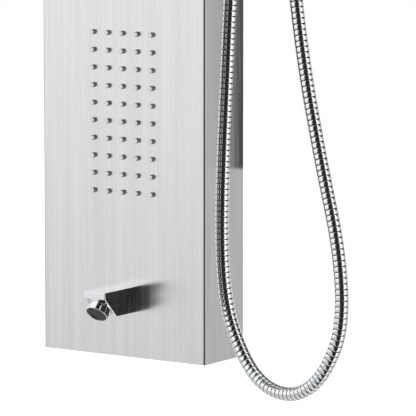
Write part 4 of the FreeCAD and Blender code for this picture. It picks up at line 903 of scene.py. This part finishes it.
@dataclass
class Studio:
    """The pale floor, the soft light all round and the camera."""

    camera_place: tuple = (2.2105, -3.2019, -0.0385)
    camera_turn_deg: float = 33.933
    camera_dip_deg: float = 7.562
    lens_mm: float = 328.85
    sensor_mm: float = 36.0
    sight_limit: float = 50.0
    floor_size: float = 14.0
    floor_drop: float = 0.62
    floor_glow: float = 0.6
    floor_colour: str = "f4f4f4"
    floor_light: str = "ffffff"
    card_colour: str = "0a0a0a"

    # Brightness of the tent by compass angle from the front, in degrees, clockwise seen from above.
    round_levels: tuple = (
        (-180, 0.8), (-150, 0.8), (-100, 0.85), (-60, 0.82), (-12, 0.82), (0, 0.3), (8, 0.02), (68, 0.02),
        (78, 0.95), (106, 0.95), (128, 0.42), (164, 0.42), (176, 0.8), (180, 0.8),
    )
    # Brightness by how high the direction points, from straight down at -1 to straight up at 1.
    rise_levels: tuple = ((-1.0, 0.7), (-0.24, 0.58), (-0.19, 0.7), (-0.13, 0.87), (-0.07, 0.98), (0.0, 1.0))
    # The heights fade in from the first X to the second, so they count on the left only.
    rise_fades_in: tuple = (0.3, -0.2)
    # How much the dark ceiling behind the column shows, by the same height, and where in Y it fades in.
    ceiling_band: tuple = ((-1.0, 0.0), (0.25, 0.0), (0.4, 1.0), (0.78, 1.0), (0.86, 0.0), (1.0, 0.0))
    ceiling_fades_in: tuple = (0.1, 0.3)
    ceiling_level: float = 0.05
    # The tent is white again straight above, from the first height to the second.
    zenith_fades_in: tuple = (0.95, 0.99)
    tent_strength: float = 1.26
    # The first darkens the hose where it runs nearest the panel, and the second the side's rear part.
    cards: tuple = (
        Card("card_beside_hose", (0.1005, -0.140, -0.642), (0.1010, -0.0725, -0.200)),
        Card("card_behind_side", (0.100, 0.030, -0.512), (0.136, 0.031, -0.290)),
    )

    @staticmethod
    def grey(level: float) -> tuple[float, float, float, float]:
        """Return a neutral colour."""
        return (level, level, level, 1.0)

    def build_camera(self) -> None:
        """Place the camera in front, to the right of and above the spout."""
        data = bpy.data.cameras.new("camera")
        data.lens = self.lens_mm
        data.sensor_width = self.sensor_mm
        data.clip_end = self.sight_limit
        camera = bpy.data.objects.new("camera", data)
        camera.location = self.camera_place
        tilt = math.radians(90 - self.camera_dip_deg)
        camera.rotation_euler = (tilt, 0, math.radians(self.camera_turn_deg))
        bpy.context.scene.collection.objects.link(camera)
        bpy.context.scene.camera = camera

    def build_floor(self) -> None:
        """Lay a plain pale floor well below the column."""
        deselect_all()
        floor_height = CAD_BOX[0][2] - self.floor_drop
        bpy.ops.mesh.primitive_plane_add(size=self.floor_size, location=(0, 0, floor_height))
        floor = bpy.context.object
        floor.name = "studio_floor"
        material, tree, shader = new_material("studio_floor_paint")
        shader.inputs["Base Color"].default_value = linear(self.floor_colour)
        shader.inputs["Roughness"].default_value = 0.9
        shader.inputs["Emission Color"].default_value = linear(self.floor_light)
        shader.inputs["Emission Strength"].default_value = self.floor_glow
        floor.data.materials.append(material)
        floor.visible_glossy = False

    def stops_by_height(self, levels: tuple) -> list[tuple[float, tuple]]:
        """Return a ramp's stops for levels that are given by height, from -1 to 1."""
        return [((height + 1) / 2, self.grey(level)) for height, level in levels]

    def tent_tone(self, tree: bpy.types.NodeTree) -> bpy.types.NodeSocket:
        """Build the tent's brightness in each direction.

        Args:
            tree: the world's node tree.

        Returns:
            The colour socket.
        """
        direction = add_node(tree, "ShaderNodeTexCoord").outputs["Generated"]
        split = add_node(tree, "ShaderNodeSeparateXYZ", links={"Vector": direction})
        back = add_node(tree, "ShaderNodeMath", {"operation": "MULTIPLY", 1: -1.0}, {0: split.outputs["Y"]})
        angle = add_node(
            tree, "ShaderNodeMath", {"operation": "ARCTAN2"}, {0: split.outputs["X"], 1: back.outputs[0]}
        )
        share = add_node(
            tree, "ShaderNodeMapRange", {"From Min": -math.pi, "From Max": math.pi},
            {"Value": angle.outputs[0]},
        )
        round_tone = add_node(
            tree, "ShaderNodeValToRGB", links={"Fac": share.outputs["Result"]},
            stops=[((angle_deg + 180) / 360, self.grey(level)) for angle_deg, level in self.round_levels],
        )
        rise = add_node(
            tree, "ShaderNodeMapRange", {"From Min": -1.0, "From Max": 1.0}, {"Value": split.outputs["Z"]}
        )
        rise_tone = add_node(
            tree, "ShaderNodeValToRGB", links={"Fac": rise.outputs["Result"]},
            stops=self.stops_by_height(self.rise_levels),
        )
        leftness = add_node(
            tree, "ShaderNodeMapRange",
            {"From Min": self.rise_fades_in[0], "From Max": self.rise_fades_in[1]},
            {"Value": split.outputs["X"]},
        )
        shaded = add_node(
            tree, "ShaderNodeMix", {"data_type": "RGBA", "blend_type": "MULTIPLY"},
            {0: leftness.outputs["Result"], 6: round_tone.outputs["Color"], 7: rise_tone.outputs["Color"]},
        )
        behind = add_node(
            tree, "ShaderNodeMapRange",
            {"From Min": self.ceiling_fades_in[0], "From Max": self.ceiling_fades_in[1]},
            {"Value": split.outputs["Y"]},
        )
        above = add_node(
            tree, "ShaderNodeValToRGB", links={"Fac": rise.outputs["Result"]},
            stops=self.stops_by_height(self.ceiling_band),
        )
        ceiling = add_node(
            tree, "ShaderNodeMath", {"operation": "MULTIPLY"},
            {0: behind.outputs["Result"], 1: above.outputs["Color"]},
        )
        dimmed = add_node(
            tree, "ShaderNodeMix", {"data_type": "RGBA", 7: self.grey(self.ceiling_level)},
            {0: ceiling.outputs[0], 6: shaded.outputs[2]},
        )
        overhead = add_node(
            tree, "ShaderNodeMapRange",
            {"From Min": self.zenith_fades_in[0], "From Max": self.zenith_fades_in[1]},
            {"Value": split.outputs["Z"]},
        )
        tone = add_node(
            tree, "ShaderNodeMix", {"data_type": "RGBA", 7: self.grey(1.0)},
            {0: overhead.outputs["Result"], 6: dimmed.outputs[2]},
        )
        return tone.outputs[2]

    def build_world(self) -> None:
        """Surround the column with a light tent that the camera itself sees as white paper."""
        world = bpy.data.worlds.new("light_tent")
        bpy.context.scene.world = world
        world.use_nodes = True
        tree = world.node_tree
        tree.nodes.clear()
        tent = add_node(
            tree, "ShaderNodeBackground", {"Strength": self.tent_strength}, {"Color": self.tent_tone(tree)}
        )
        paper = add_node(tree, "ShaderNodeBackground", {"Color": self.grey(1.0), "Strength": 1.0})
        seen = add_node(tree, "ShaderNodeLightPath").outputs["Is Camera Ray"]
        both = add_node(
            tree, "ShaderNodeMixShader", links={0: seen, 1: tent.outputs[0], 2: paper.outputs[0]}
        )
        add_node(tree, "ShaderNodeOutputWorld", links={"Surface": both.outputs[0]})

    def build(self) -> None:
        """Build the whole studio."""
        bpy.context.scene.view_settings.view_transform = "Standard"
        self.build_camera()
        self.build_floor()
        self.build_world()
        black, _, shader = new_material("black_card")
        shader.inputs["Base Color"].default_value = linear(self.card_colour)
        for card in self.cards:
            card.build(black)


def main() -> None:
    """Build the studio, the CAD nodes' finishes, the hose, the jets and the smooth copies, in that order."""
    logging.basicConfig(level=logging.INFO, format="%(name)s: %(message)s")
    shop = Paintshop()
    Studio().build()
    shop.dress_frame()
    hose = RingedHose().build(shop)
    log.info("built %s", hose.name)
    fields = (
        NozzleField("lower_jet_mat", 5, 10, 18 * MM, 2.5 * MM, 5.0 * MM, (0, -1, 0)),
        NozzleField("upper_jet_mat", 5, 10, 18 * MM, 2.5 * MM, 5.0 * MM, (0, -1, 0)),
        NozzleField("rain_nozzle_mat", 8, 12, 20 * MM, 3.0 * MM, 4.5 * MM, (0, 0, -1)),
    )
    for nozzles in fields:
        log.info("built %s", nozzles.build(shop).name)
    slots = node_slots()
    for body, nodes in frame["record"]["behaviour"]["bodies"].items():
        for node in nodes:
            if slots[node] in SMOOTH_SLOTS:
                piece = SmoothCopy(node, slots[node], body).build(shop)
                log.info("built %s", piece.name)


if __name__ == "__main__":
    main()
